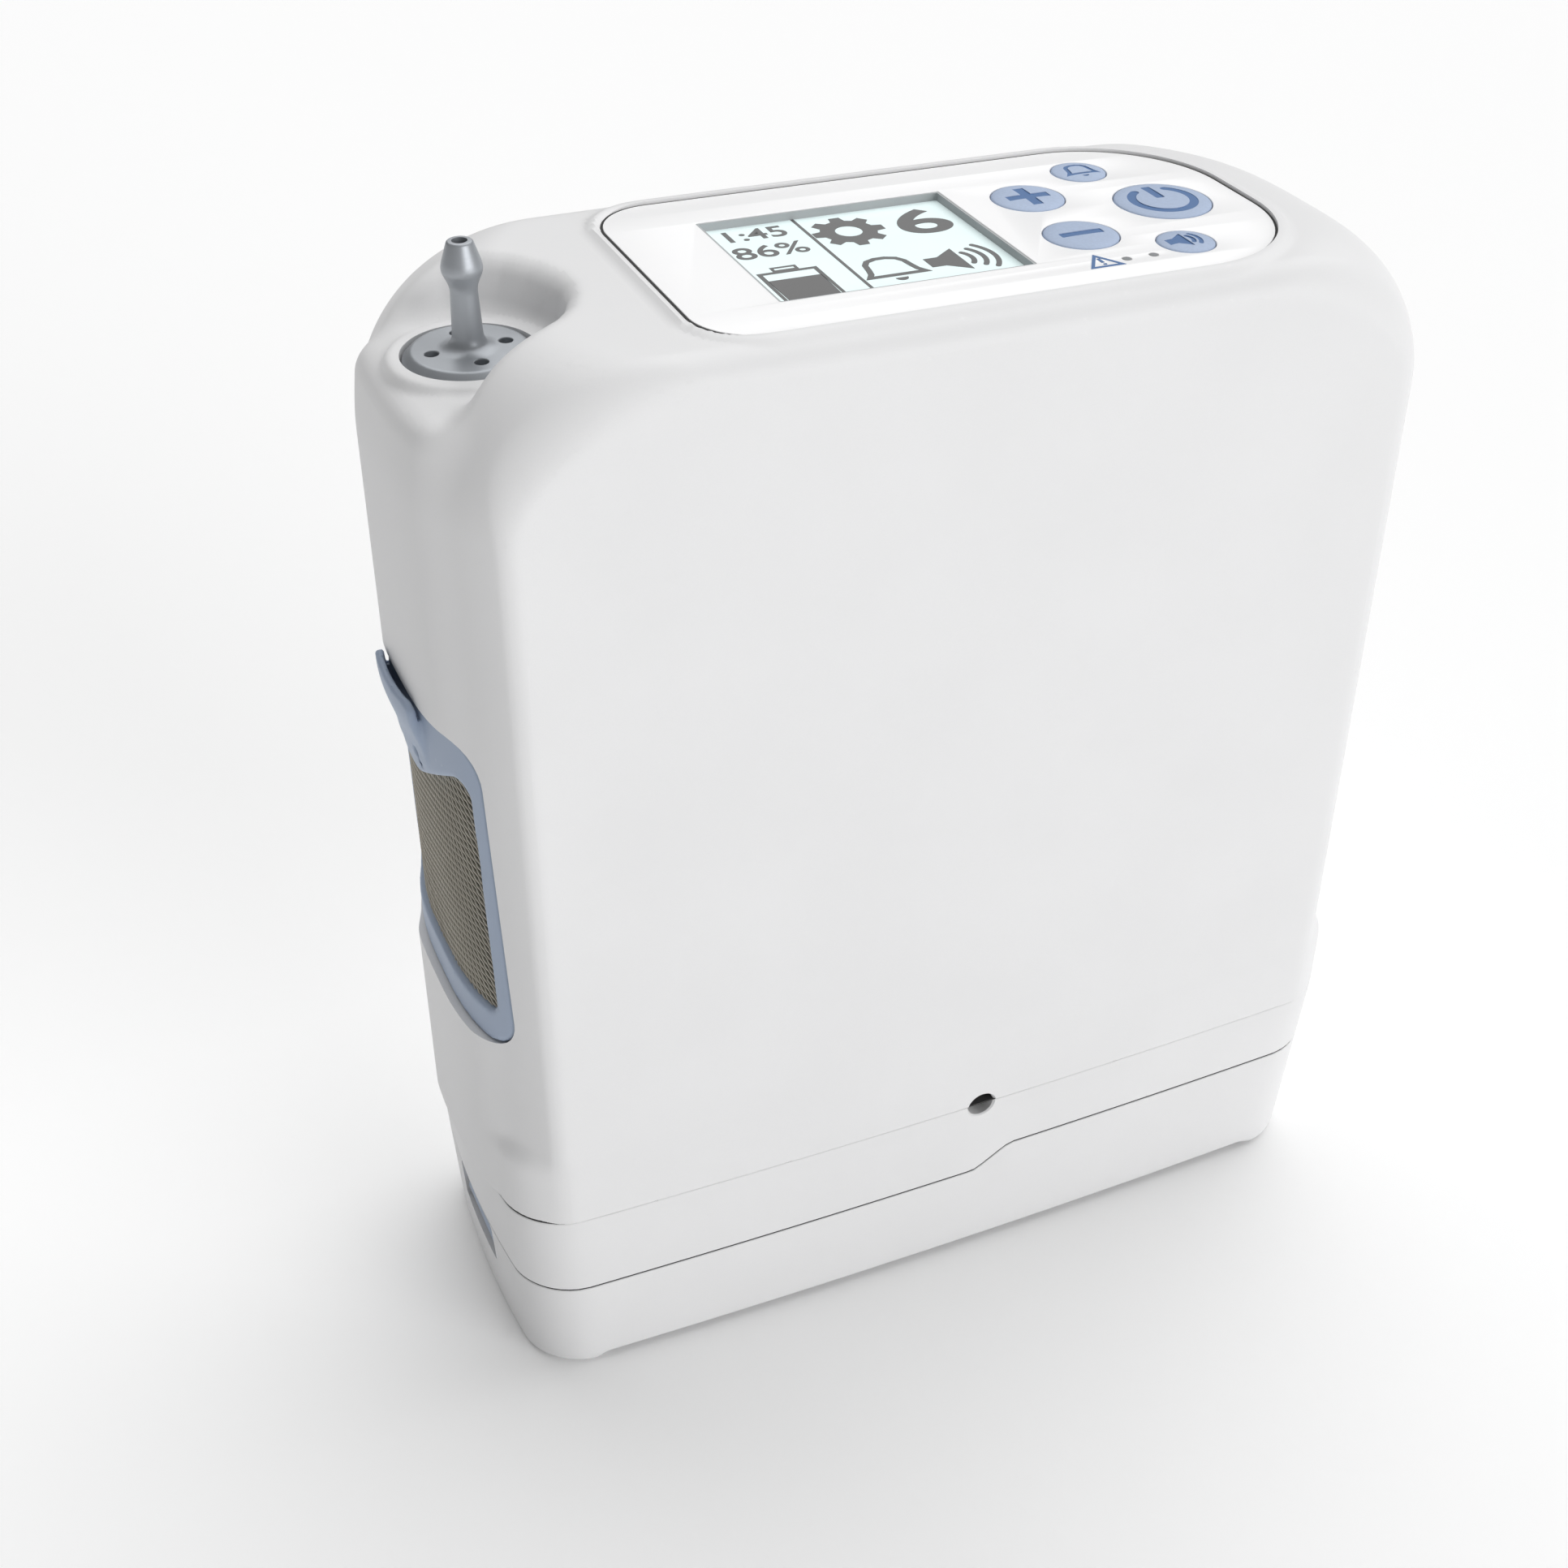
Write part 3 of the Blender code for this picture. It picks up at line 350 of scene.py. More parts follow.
def panel_distance(x, y):
    """Distance to the panel's D outline: small corners on the left, large ones on the right."""
    middle, half = (PANEL_LEFT + PANEL_RIGHT) / 2, (PANEL_RIGHT - PANEL_LEFT) / 2
    return rounded_box(x - middle, y, half, PANEL_HALF, np.where(x < middle, 10.5, 23.0))


def front_distance(x, y, z):
    return np.abs(y) - (HALF_DEPTH - 0.004 * np.maximum(z - 60, 0) - CROWN * (x / 91.3) ** 2)


def base_distance(x, y, z, draft=0.0):
    """The plump lower section, which the battery and the middle band share."""
    end = np.abs(x) - (91.3 - draft - 0.0026 * y * y)
    return both(end, front_distance(x, y, 0 * z) + draft, 10.5)


def body_distance(x, y, z):
    sweep = end_sweep(x, y)
    steep = 3 * sweep / np.maximum(np.abs(y), 1)
    end = (np.abs(x) - (HALF_LENGTH - sweep)) / np.sqrt(1 + steep**2)
    from_panel = panel_distance(x, y)
    left = 1 - ease(x, -46, -36)
    rim = RIM_RISE * (1 - ease(from_panel, 1.2, 3.4)) * (1 - left * (1 - ease(from_panel, 0.3, 1.6)))
    top = z - (TOP_Z - SLOPE * x + rim)
    front = front_distance(x, y, z)
    upper = both(both(end, top, 25.0), front, 1.5 + 3.7 * ease(z, 184, 203))
    lip = both(both(end, z - 200.4, 4.0), rounded_box(x + 80, y + 3, 22, 19.5, 6), 5.0)
    upper = merged(upper, lip, 5.0)
    return merged(upper, both(base_distance(x, y, z), z - 59.5, 5.0), 1.6)


# %% [markdown]
# The outlet stands in a scoop that is open to the end of the body. Its far wall leans back and
# sweeps round behind the outlet; the near wall cuts straight across, almost upright, and runs
# out over the end face in a soft V. A low ring on the floor frames the outlet's flange.

# %% The scoop and its ring
OUTLET = (-75.6, 0.2)
SCOOP = [(-112, 20.6), (-82, 20.2), (-74, 19.9), (-69, 18.6), (-65.2, 15.4), (-62.0, 11.0), (-60.1, 6.2),
         (-59.4, 1.8), (-60.1, -2.4), (-62.0, -6.4), (-64.8, -9.7), (-68.2, -12.2), (-72.2, -14.2),
         (-76.4, -16.3), (-80.3, -18.8), (-83.6, -21.4), (-90, -27.0), (-112, -46.0)]
SCOOP_RIM, SCOOP_FLOOR = 208.5, 201.4


def scoop_distance(x, y, z):
    lean = 0.12 + 0.40 * ease(y, -4, 11)
    wall = (outline_distance(x, y, SCOOP) + lean * (SCOOP_RIM - z)) / np.sqrt(1 + lean**2)
    return both(wall, SCOOP_FLOOR - z, 3.0)


def shell_distance(x, y, z):
    scooped = both(body_distance(x, y, z), -scoop_distance(x, y, z), 2.6)
    from_outlet = np.hypot(x - OUTLET[0], y - OUTLET[1])
    ring = both(from_outlet - 13.5, z - 202.35, 1.1) + np.where(z < 190, 99.0, 0.0)
    return both(merged(scooped, ring, 1.4), SEAM_TOP - z, 0.5)


def steps(*spans):
    """Grid lines from (start, end, spacing) spans that follow one another."""
    lines = []
    for start, end, spacing in spans:
        lines.append(np.linspace(start, end, max(int(round((end - start) / spacing)), 1), endpoint=False))
    return np.append(np.concatenate(lines), spans[-1][1])


# %% Draw the shell
across = steps((-93.5, -86, 0.8), (-86, -54, 0.72), (-54, 66, 0.85), (66, 93.5, 0.85))
along = steps((-37.2, -28, 0.6), (-28, 28, 0.8), (28, 37.2, 0.6))
upright = steps((42.2, 44, 0.3), (44, 52, 2.0), (52, 62, 0.85), (62, 180, 6.0), (180, 211.6, 0.68))
shell = surface_net("upper_shell", shell_distance, across, along, upright, shell_white)


# %% [markdown]
# The shell is hollow and has openings with crisp edges. Distances would blur those, so the
# cavity, the panel's pocket, the filter seats, the outlet's seat and the power inlet are cut out
# with one Boolean, from a collection of cutters that is thrown away again.


# %% Boolean helpers
def applied(obj):
    """Turns an object's modifiers into plain mesh."""
    made = bpy.data.meshes.new_from_object(obj.evaluated_get(bpy.context.evaluated_depsgraph_get()))
    old = obj.data
    obj.modifiers.clear()
    obj.data = made
    if old.users == 0:
        bpy.data.meshes.remove(old)
    return obj


def cut_away(obj, cutters, operation="DIFFERENCE"):
    group = bpy.data.collections.new("cutters")
    bpy.context.scene.collection.children.link(group)
    for cutter in cutters:
        bpy.context.scene.collection.objects.unlink(cutter)
        group.objects.link(cutter)
    step = obj.modifiers.new("cut", "BOOLEAN")
    step.operand_type, step.collection, step.operation = "COLLECTION", group, operation
    step.solver = "EXACT"
    applied(obj)
    for cutter in cutters:
        bpy.data.objects.remove(cutter, do_unlink=True)
    bpy.data.collections.remove(group)
    return obj


def finish_edges(obj, angle=30):
    obj.data.shade_smooth()
    obj.data.set_sharp_from_angle(angle=math.radians(angle))
    return obj


# %% Simple solids for cutters and pieces
def solid(name, rings, material=None):
    """A closed solid through rings of equal length, with a fan closing each end."""
    count = len(rings[0])
    verts = [p for ring in rings for p in ring]
    faces = [(row * count + k, row * count + (k + 1) % count, (row + 1) * count + (k + 1) % count,
              (row + 1) * count + k) for row in range(len(rings) - 1) for k in range(count)]
    faces += [tuple(range(count - 1, -1, -1)), tuple(range(len(verts) - count, len(verts)))]
    obj = new_object(name, verts, faces, material or shell_white)
    work = bmesh.new()
    work.from_mesh(obj.data)
    bmesh.ops.recalc_face_normals(work, faces=work.faces)
    work.to_mesh(obj.data)
    work.free()
    return obj


def block(name, x0, x1, y0, y1, z0, z1, rounding=0.0, material=None):
    obj = solid(name, [[(x0, y0, z), (x1, y0, z), (x1, y1, z), (x0, y1, z)] for z in (z0, z1)], material)
    if rounding:
        step = obj.modifiers.new("edge", "BEVEL")
        step.width, step.segments = rounding * MM, 4
        applied(obj)
    return obj


def lathe(name, centre, profile, material=None, sides=96, axis="Z"):
    """A turned solid from (along, radius) points. centre is the other two coordinates."""
    turns = [(math.cos(2 * math.pi * k / sides), math.sin(2 * math.pi * k / sides)) for k in range(sides)]
    place = {"Y": lambda a, u, v: (u, a, v), "Z": lambda a, u, v: (u, v, a)}[axis]
    return solid(name, [[place(a, centre[0] + r * c, centre[1] + r * s) for c, s in turns]
                        for a, r in profile], material)


def rounded_profile(corners, steps_round=5):
    """Rounds a profile's corners: each is (along, radius, rounding)."""
    made = []
    for k, (a, r, rounding) in enumerate(corners):
        here = np.array([a, r])
        if k in (0, len(corners) - 1) or rounding == 0:
            made.append(tuple(here))
            continue
        before, after = np.array(corners[k - 1][:2]) - here, np.array(corners[k + 1][:2]) - here
        start, end = (here + d / np.hypot(*d) * rounding for d in (before, after))
        for t in np.linspace(0, 1, steps_round + 1):
            made.append(tuple((1 - t) ** 2 * start + 2 * t * (1 - t) * here + t * t * end))
    return made


# %% Flat shapes drawn as outlines
PANEL_FRAME = Matrix.Translation((0, 0, PANEL_Z * MM)) @ Matrix.Rotation(math.atan(SLOPE), 4, "Y")


def flat_shape(name, loops, low, high, material, edge=0.0, on_panel=True):
    """A plate between two heights from closed outlines; an outline inside another is a hole."""
    curve = bpy.data.curves.new(name, "CURVE")
    curve.dimensions, curve.fill_mode = "2D", "BOTH"
    curve.extrude = ((high - low) / 2 - edge) * MM
    curve.bevel_depth, curve.bevel_resolution, curve.offset = edge * MM, 2, -edge * MM
    for loop in loops:
        line = curve.splines.new("POLY")
        line.points.add(len(loop) - 1)
        line.use_cyclic_u = True
        for point, (x, y) in zip(line.points, loop):
            point.co = (x * MM, y * MM, 0, 1)
    drawn = bpy.data.objects.new(name + "_outline", curve)
    bpy.context.scene.collection.objects.link(drawn)
    mesh = bpy.data.meshes.new_from_object(drawn.evaluated_get(bpy.context.evaluated_depsgraph_get()))
    bpy.data.objects.remove(drawn, do_unlink=True)
    work = bmesh.new()
    work.from_mesh(mesh)
    bmesh.ops.remove_doubles(work, verts=work.verts, dist=1e-6)
    bmesh.ops.recalc_face_normals(work, faces=work.faces)
    work.to_mesh(mesh)
    work.free()
    mesh.materials.clear()
    mesh.materials.append(material)
    mesh.transform(Matrix.Translation((0, 0, (low + high) / 2 * MM)))
    if on_panel:
        mesh.transform(PANEL_FRAME)
    obj = bpy.data.objects.new(name, mesh)
    bpy.context.scene.collection.objects.link(obj)
    return finish_edges(obj)


def arc(cx, cy, radius, start, end, count=16):
    angles = np.radians(np.linspace(start, end, count + 1))
    return [(cx + radius * math.cos(a), cy + radius * math.sin(a)) for a in angles]


def rectangle(x0, x1, y0, y1, r=0.0):
    if r == 0:
        return [(x0, y0), (x1, y0), (x1, y1), (x0, y1)]
    corners = ((x0 + r, y0 + r, 180), (x1 - r, y0 + r, 270), (x1 - r, y1 - r, 0), (x0 + r, y1 - r, 90))
    return [p for cx, cy, turn in corners for p in arc(cx, cy, r, turn, turn + 90, 6)]


def panel_loop(grow=0.0):
    small, large = 10.5 + grow, 23.0 + grow
    x0, x1, half = PANEL_LEFT - grow, PANEL_RIGHT + grow, PANEL_HALF + grow
    corners = ((x0 + small, -half + small, small, 180), (x1 - large, -half + large, large, 270),
               (x1 - large, half - large, large, 0), (x0 + small, half - small, small, 90))
    return [p for cx, cy, r, turn in corners for p in arc(cx, cy, r, turn, turn + 90, 24)]


# %% Filter outlines, shared by the shell's seats and the filters
FRAME_SHAPE = ((28.5, 81.8, 7.0), (25.9, 146.0, 8.0))
WINDOW_SHAPE = ((24.4, 88.9, 2.6), (22.9, 137.3, 2.8), (18.8, 137.0, 4.0), (3.2, 128.7, 6.0))


def filter_loop(shape, grow=0.0, count=8):
    """An outline in YZ from the corners (y, z, rounding) of its right half, moved outwards by grow."""
    ring = [np.array(c, float) for c in shape] + [np.array((-y, z, r)) for y, z, r in shape[::-1]]
    points = []
    for k, (y, z, radius) in enumerate(ring):
        here = np.array((y, z))
        a, b = here - ring[k - 1][:2], ring[(k + 1) % len(ring)][:2] - here
        a, b = a / np.hypot(*a), b / np.hypot(*b)
        out_a, out_b = np.array((a[1], -a[0])), np.array((b[1], -b[0]))
        corner = here + (out_a + out_b) * grow / (1 + out_a @ out_b)
        half_turn = math.acos(a @ b) / 2
        convex = a[0] * b[1] - a[1] * b[0] > 0
        reach = (radius + (grow if convex else -grow)) * math.tan(half_turn)
        start, end, pull = corner - a * reach, corner + b * reach, math.cos(half_turn)
        for t in np.linspace(0, 1, count + 1):
            shares = ((1 - t) ** 2, 2 * t * (1 - t) * pull, t * t)
            points.append(tuple((start * shares[0] + corner * shares[1] + end * shares[2]) / sum(shares)))
    return points


def end_prism(name, loop, sign, near, far):
    """A prism along X through an end of the body, between two distances from the middle."""
    return solid(name, [[(sign * x, y, z) for y, z in loop] for x in (near, far)])


# %% Cut the shell
def hollow_distance(x, y, z):
    walls = body_distance(x, y, z) + 2.4
    walls = both(walls, np.where(x < -50, z - 196.5, z - 203.0), 1.0)
    window = (np.abs(y) < 33) & (z > 75) & (z < 149)
    return np.maximum(np.maximum(walls, np.where(window, np.abs(x) - 82.2, -9.0)), 36 - z)


hollow = surface_net("shell_hollow", hollow_distance, steps((-92, 92, 2.6)), steps((-36.5, 36.5, 2.2)),
                     steps((33, 206, 3.0)), shell_white)
cutters = [hollow]
cutters.append(flat_shape("panel_pocket", [panel_loop(0.45)], -1.5, 9, shell_white))
cutters.append(flat_shape("panel_opening", [panel_loop(-3)], -14, 8, shell_white))
cutters.append(lathe("outlet_seat", OUTLET, [(200.2, 10.95), (230, 10.95)]))
cutters.append(lathe("outlet_hole", OUTLET, [(190, 5.3), (201, 5.3)]))
inlet = [(-60, 3.15), (-35.9, 3.15), (-35.55, 2.8), (-31, 2.75)]
cutters.append(lathe("inlet_above", INLET, inlet, axis="Y", sides=48))
for sign in (-1, 1):
    cutters.append(end_prism(f"seat_{sign}", filter_loop(FRAME_SHAPE, 0.35), sign, 79.0, 110))
cut_away(shell, cutters)
finish_edges(shell, 32)
print("shell", len(shell.data.polygons), "faces")
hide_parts("upper_housing")
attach(shell, "housing")

# %% [markdown]
# ## The middle band and the battery
# Below the shell sit a band, which is the lower housing, and the battery that slides off it. Their
# outline is the plump base section with a little draft. The line between them steps up near the
# middle, so each ring of the mesh follows that step. An outline is found along rays from the
# centre, by halving the stretch in which the base's distance passes zero. A dark ring just inside
# each seam is painted shade: it stands in for the shadow in the gap and draws it as a thin line.

# %% Rings that follow the stepped seam
RAYS = 320
DRAFT = 2.35


def outline_at(z, inset=0.0):
    """Points of the base's outline at heights z, one for each ray."""
    turn = np.linspace(0, 2 * math.pi, RAYS, endpoint=False)
    reach = np.maximum(np.abs(np.cos(turn)), np.abs(np.sin(turn)))
    u, v = np.cos(turn) / reach * 92, np.sin(turn) / reach * 37
    low, high = np.zeros(RAYS), np.ones(RAYS) * 1.2
    draft = DRAFT * np.maximum(42.5 - z, 0) / 42.5
    for _ in range(30):
        middle = (low + high) / 2
        inside = base_distance(u * middle, v * middle, z, draft) < -inset
        low, high = np.where(inside, middle, low), np.where(inside, high, middle)
    return u * low, v * low


def seam_step(x):
    """Height of the line between the band and the battery."""
    t = np.clip((x - 4.8) / 8.2, 0, 1)
    return 22.8 + 5.0 * (0.75 * t + 0.25 * t * t * (3 - 2 * t))


def ring_at(height, inset):
    """height is a function of x, or a number."""
    z = np.full(RAYS, 30.0)
    for _ in range(3):
        x, y = outline_at(z, inset)
        z = height(x) if callable(height) else np.full(RAYS, float(height))
    return list(zip(x, y, z))


def capped(name, rings, material):
    """A solid through rings that are the same front and back, closed by rungs across."""
    verts = [p for ring in rings for p in ring]
    faces = []
    for row in range(len(rings) - 1):
        a, b = row * RAYS, (row + 1) * RAYS
        faces += [(a + k, a + (k + 1) % RAYS, b + (k + 1) % RAYS, b + k) for k in range(RAYS)]
    for base, flip in ((0, True), (len(verts) - RAYS, False)):
        for k in range(RAYS // 2):
            rung = [base + k, base + k + 1, base + (RAYS - k - 1) % RAYS, base + (RAYS - k) % RAYS]
            rung = list(dict.fromkeys(rung))
            faces.append(tuple(rung[::-1] if flip else rung))
    return new_object(name, verts, faces, material)


def edge_rings(height, up, radius=0.4, inset=0.0):
    """Rings that round an edge over: up is +1 for an upper edge and -1 for a lower one."""
    rings = []
    for t in (0, 0.35, 0.7, 1.0):
        turn = t * math.pi / 2
        drop, back = radius * (1 - math.sin(turn)), radius * (1 - math.cos(turn))
        rings.append(ring_at(lambda x: height(x) - up * drop, inset + back))
    return rings if up > 0 else rings[::-1]


def seam_shadow_ring(name, low, high, near=0.18, far=2.0):
    """A closed dark ring just inside a seam, between two heights and two insets; it is painted shade for the
    gap's shadow.
    """
    rings = [ring_at(low, near), ring_at(high, near), ring_at(high, far), ring_at(low, far)]
    verts = [p for ring in rings for p in ring]
    faces = [(row * RAYS + k, row * RAYS + (k + 1) % RAYS, (row + 1) % 4 * RAYS + (k + 1) % RAYS,
              (row + 1) % 4 * RAYS + k) for row in range(4) for k in range(RAYS)]
    obj = new_object(name, verts, faces, painted_gap_shadow)
    finish_edges(obj, 40)
    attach(obj, "housing")


# %% The battery
def battery_top(x):
    return seam_step(x) - 0.15


def battery_base():
    """Rings that round the bottom edge into feet; the underside between them is raised afterwards."""
    rings = []
    for turn in np.radians((0, 18, 36, 54, 72, 90)):
        rings.append(ring_at(1.8 * (1 - math.sin(turn)), 1.8 * (1 - math.cos(turn))))
    return rings[::-1]


rings = battery_base() + [ring_at(z, 0) for z in (6, 14)]
rings += edge_rings(battery_top, 1)
rings += [ring_at(lambda x: battery_top(x) - drop, 2.6) for drop in (0.0, 1.7)]
battery = capped("battery_shell", rings, shell_white)
for vert in battery.data.vertices:
    x, y, z = vert.co / MM
    if z < 8:
        raised = 1.1 * (1 - ease(abs(x), 74.6, 76.6))
        vert.co.z = (z + raised * (1 - z / 8)) * MM
cutters = [block("latch_recess", -110, -71.6, -10.4, 10.4, 12.5, 22.4, 1.0),
           block("latch_nose_way", -89.6, -78, -4.6, 4.6, 18, 30)]
cut_away(battery, cutters)
finish_edges(battery, 35)
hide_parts("battery_case")
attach(battery, "battery")
print("battery", len(battery.data.polygons), "faces")


# %% The band above it
def band_floor(x):
    return seam_step(x) + 0.15


rings = edge_rings(band_floor, -1) + [ring_at(34, 0)] + edge_rings(lambda x: 0 * x + BAND_TOP, 1)
rings += [ring_at(BAND_TOP, 2.6), ring_at(40.0, 2.6)]
band = capped("middle_band", rings, shell_white)
inlet.append((-20, 2.75))
cutters = [lathe("inlet_below", INLET, inlet, axis="Y", sides=48)]
for side in (-20.0, 20.0):
    cutters.append(block("rail_neck", -77, 20, side - 2.3, side + 2.3, 18, 27))
    cutters.append(block("rail_head", -77, 20, side - 4.3, side + 4.3, 26.15, 28.2))
cutters.append(block("nose_groove", -87.8, 20, -4, 4, 15, 24.9))
cutters.append(block("contact_room", -3.9, 1.6, -8, 8, 15, 38))
cutters.append(block("blade_room", -3.9, 24, -8, 8, 15, 26.6))
cut_away(band, cutters)
finish_edges(band, 35)
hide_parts("lower_housing")
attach(band, "housing")
print("band", len(band.data.polygons), "faces")
# This near-black material is painted shade: it stands in for the shadow inside the seam gaps and round the
# panel's edge.
painted_gap_shadow = moulded("painted_gap_shadow", (0.035, 0.035, 0.035), 0.9, grain=0.2, depth=0.004, tone=0.1)
seam_shadow_ring("seam_shadow_upper", BAND_TOP - 0.02, SEAM_TOP + 0.02)
seam_shadow_ring("seam_shadow_lower", lambda x: battery_top(x) + 0.03, lambda x: band_floor(x) - 0.03)

# %% [markdown]
# ## The battery latch
# A blue lever in the end of the battery: its outer face is dished for a fingertip and its nose
# hooks into the floor of the band. It is the side outline drawn out along Y, with its edges
# bevelled, so it follows the same shape as the solid it replaces.

# %% The latch
side_line = [(-89.2, 15.2), (-88.6, 17.5), (-88.3, 19.0), (-88.5, 22.2), (-83.8, 22.2), (-76, 21.3),
             (-74, 21.1), (-72.6, 20.4), (-72.0, 19), (-72.6, 17.6), (-74, 16.9), (-76, 17.2),
             (-86.0, 17.2), (-86.8, 15.2)]
latch = solid("latch_lever", [[(x, y, z) for x, z in side_line] for y in (-9.6, 9.6)], frame_blue)
nose = block("nose", -86.4, -84.3, -3.4, 3.4, 21.8, 24.2, 0.3, frame_blue)
cut_away(latch, [nose], "UNION")
cut_away(latch, [lathe("latch_bore", (-74, 19), [(-12, 1.2), (12, 1.2)], axis="Y", sides=32)])
bevel = latch.modifiers.new("edge", "BEVEL")
bevel.width, bevel.segments, bevel.limit_method = 0.35 * MM, 3, "ANGLE"
applied(latch)
finish_edges(latch, 40)
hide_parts("battery_latch")
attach(latch, "latch")

# %% [markdown]
# ## The end filters
# Each filter is a moulded frame that lies flush with the end facet and carries a woven screen. At
# its top the frame swells outwards into a wide pull tab with a hollow behind it for a fingertip
# and a small slot at each side. The frame is again made from distances, in a finer net, and
# mirrored for the other end.


# %% A filter frame
FRAME_LOOP, WINDOW_LOOP = filter_loop(FRAME_SHAPE), filter_loop(WINDOW_SHAPE, count=5)


def frame_distance(x, y, z):
    surface = x - facet(y)
    middle = np.exp(-((y / 12.0) ** 2))
    swell = 1.9 * middle * ease(z, 121, 141)
    outer = outline_distance(y, z, FRAME_LOOP)
    window = outline_distance(y, z, WINDOW_LOOP)
    plate = both(both(surface + 0.15 - swell, outer, 0.5), -window, 0.9)
    plate = both(plate, -surface - 2.4, 0.3)
    tab_line = 91.9 + 2.7 * ease(z, 133, 145.5) - 0.010 * y * y
    tab = both(np.abs(x - tab_line) - 0.75, rounded_box(y, z - 140.4, 10.6, 6.6, 2.2), 0.5)
    behind = both(rounded_box(y, z - 145.2, 7.6, 5.4, 2.4), 90.4 - x, 0.8)
    slot = both(rounded_box(np.abs(y) - 6.2, z - 134.2, 0.75, 2.1, 0.7), 88 - x, 0.2)
    plate = both(merged(plate, tab, 1.2), -both(behind, x - tab_line + 0.75, 0.4), 0.5)
    return both(plate, -slot, 0.3)


def mirrored(obj, name):
    twin = bpy.data.objects.new(name, obj.data.copy())
    bpy.context.scene.collection.objects.link(twin)
    twin.data.transform(Matrix.Diagonal((-1, 1, 1, 1)))
    twin.data.flip_normals()
    return twin


right_frame = surface_net("right_filter_frame", frame_distance, steps((79.0, 97, 0.45)),
                          steps((-30, 30, 0.62)), steps((80, 118, 0.8), (118, 149, 0.5)), frame_blue)
left_frame = mirrored(right_frame, "left_filter_frame")
for side, obj in (("right", right_frame), ("left", left_frame)):
    finish_edges(obj, 60)
    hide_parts(f"filter_frame_{side}")
    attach(obj, f"filter_{side}")

# %% [markdown]
# ## The woven screens
# A screen is two layers of fine strands that cross at an angle, each riding up and down past the
# other. That is a rule, so Geometry Nodes draws it: a row of straight lines, turned and resampled,
# trimmed to the window, bent to the facet with a small wave, then given a round section. The two
# layers differ only in their inputs.


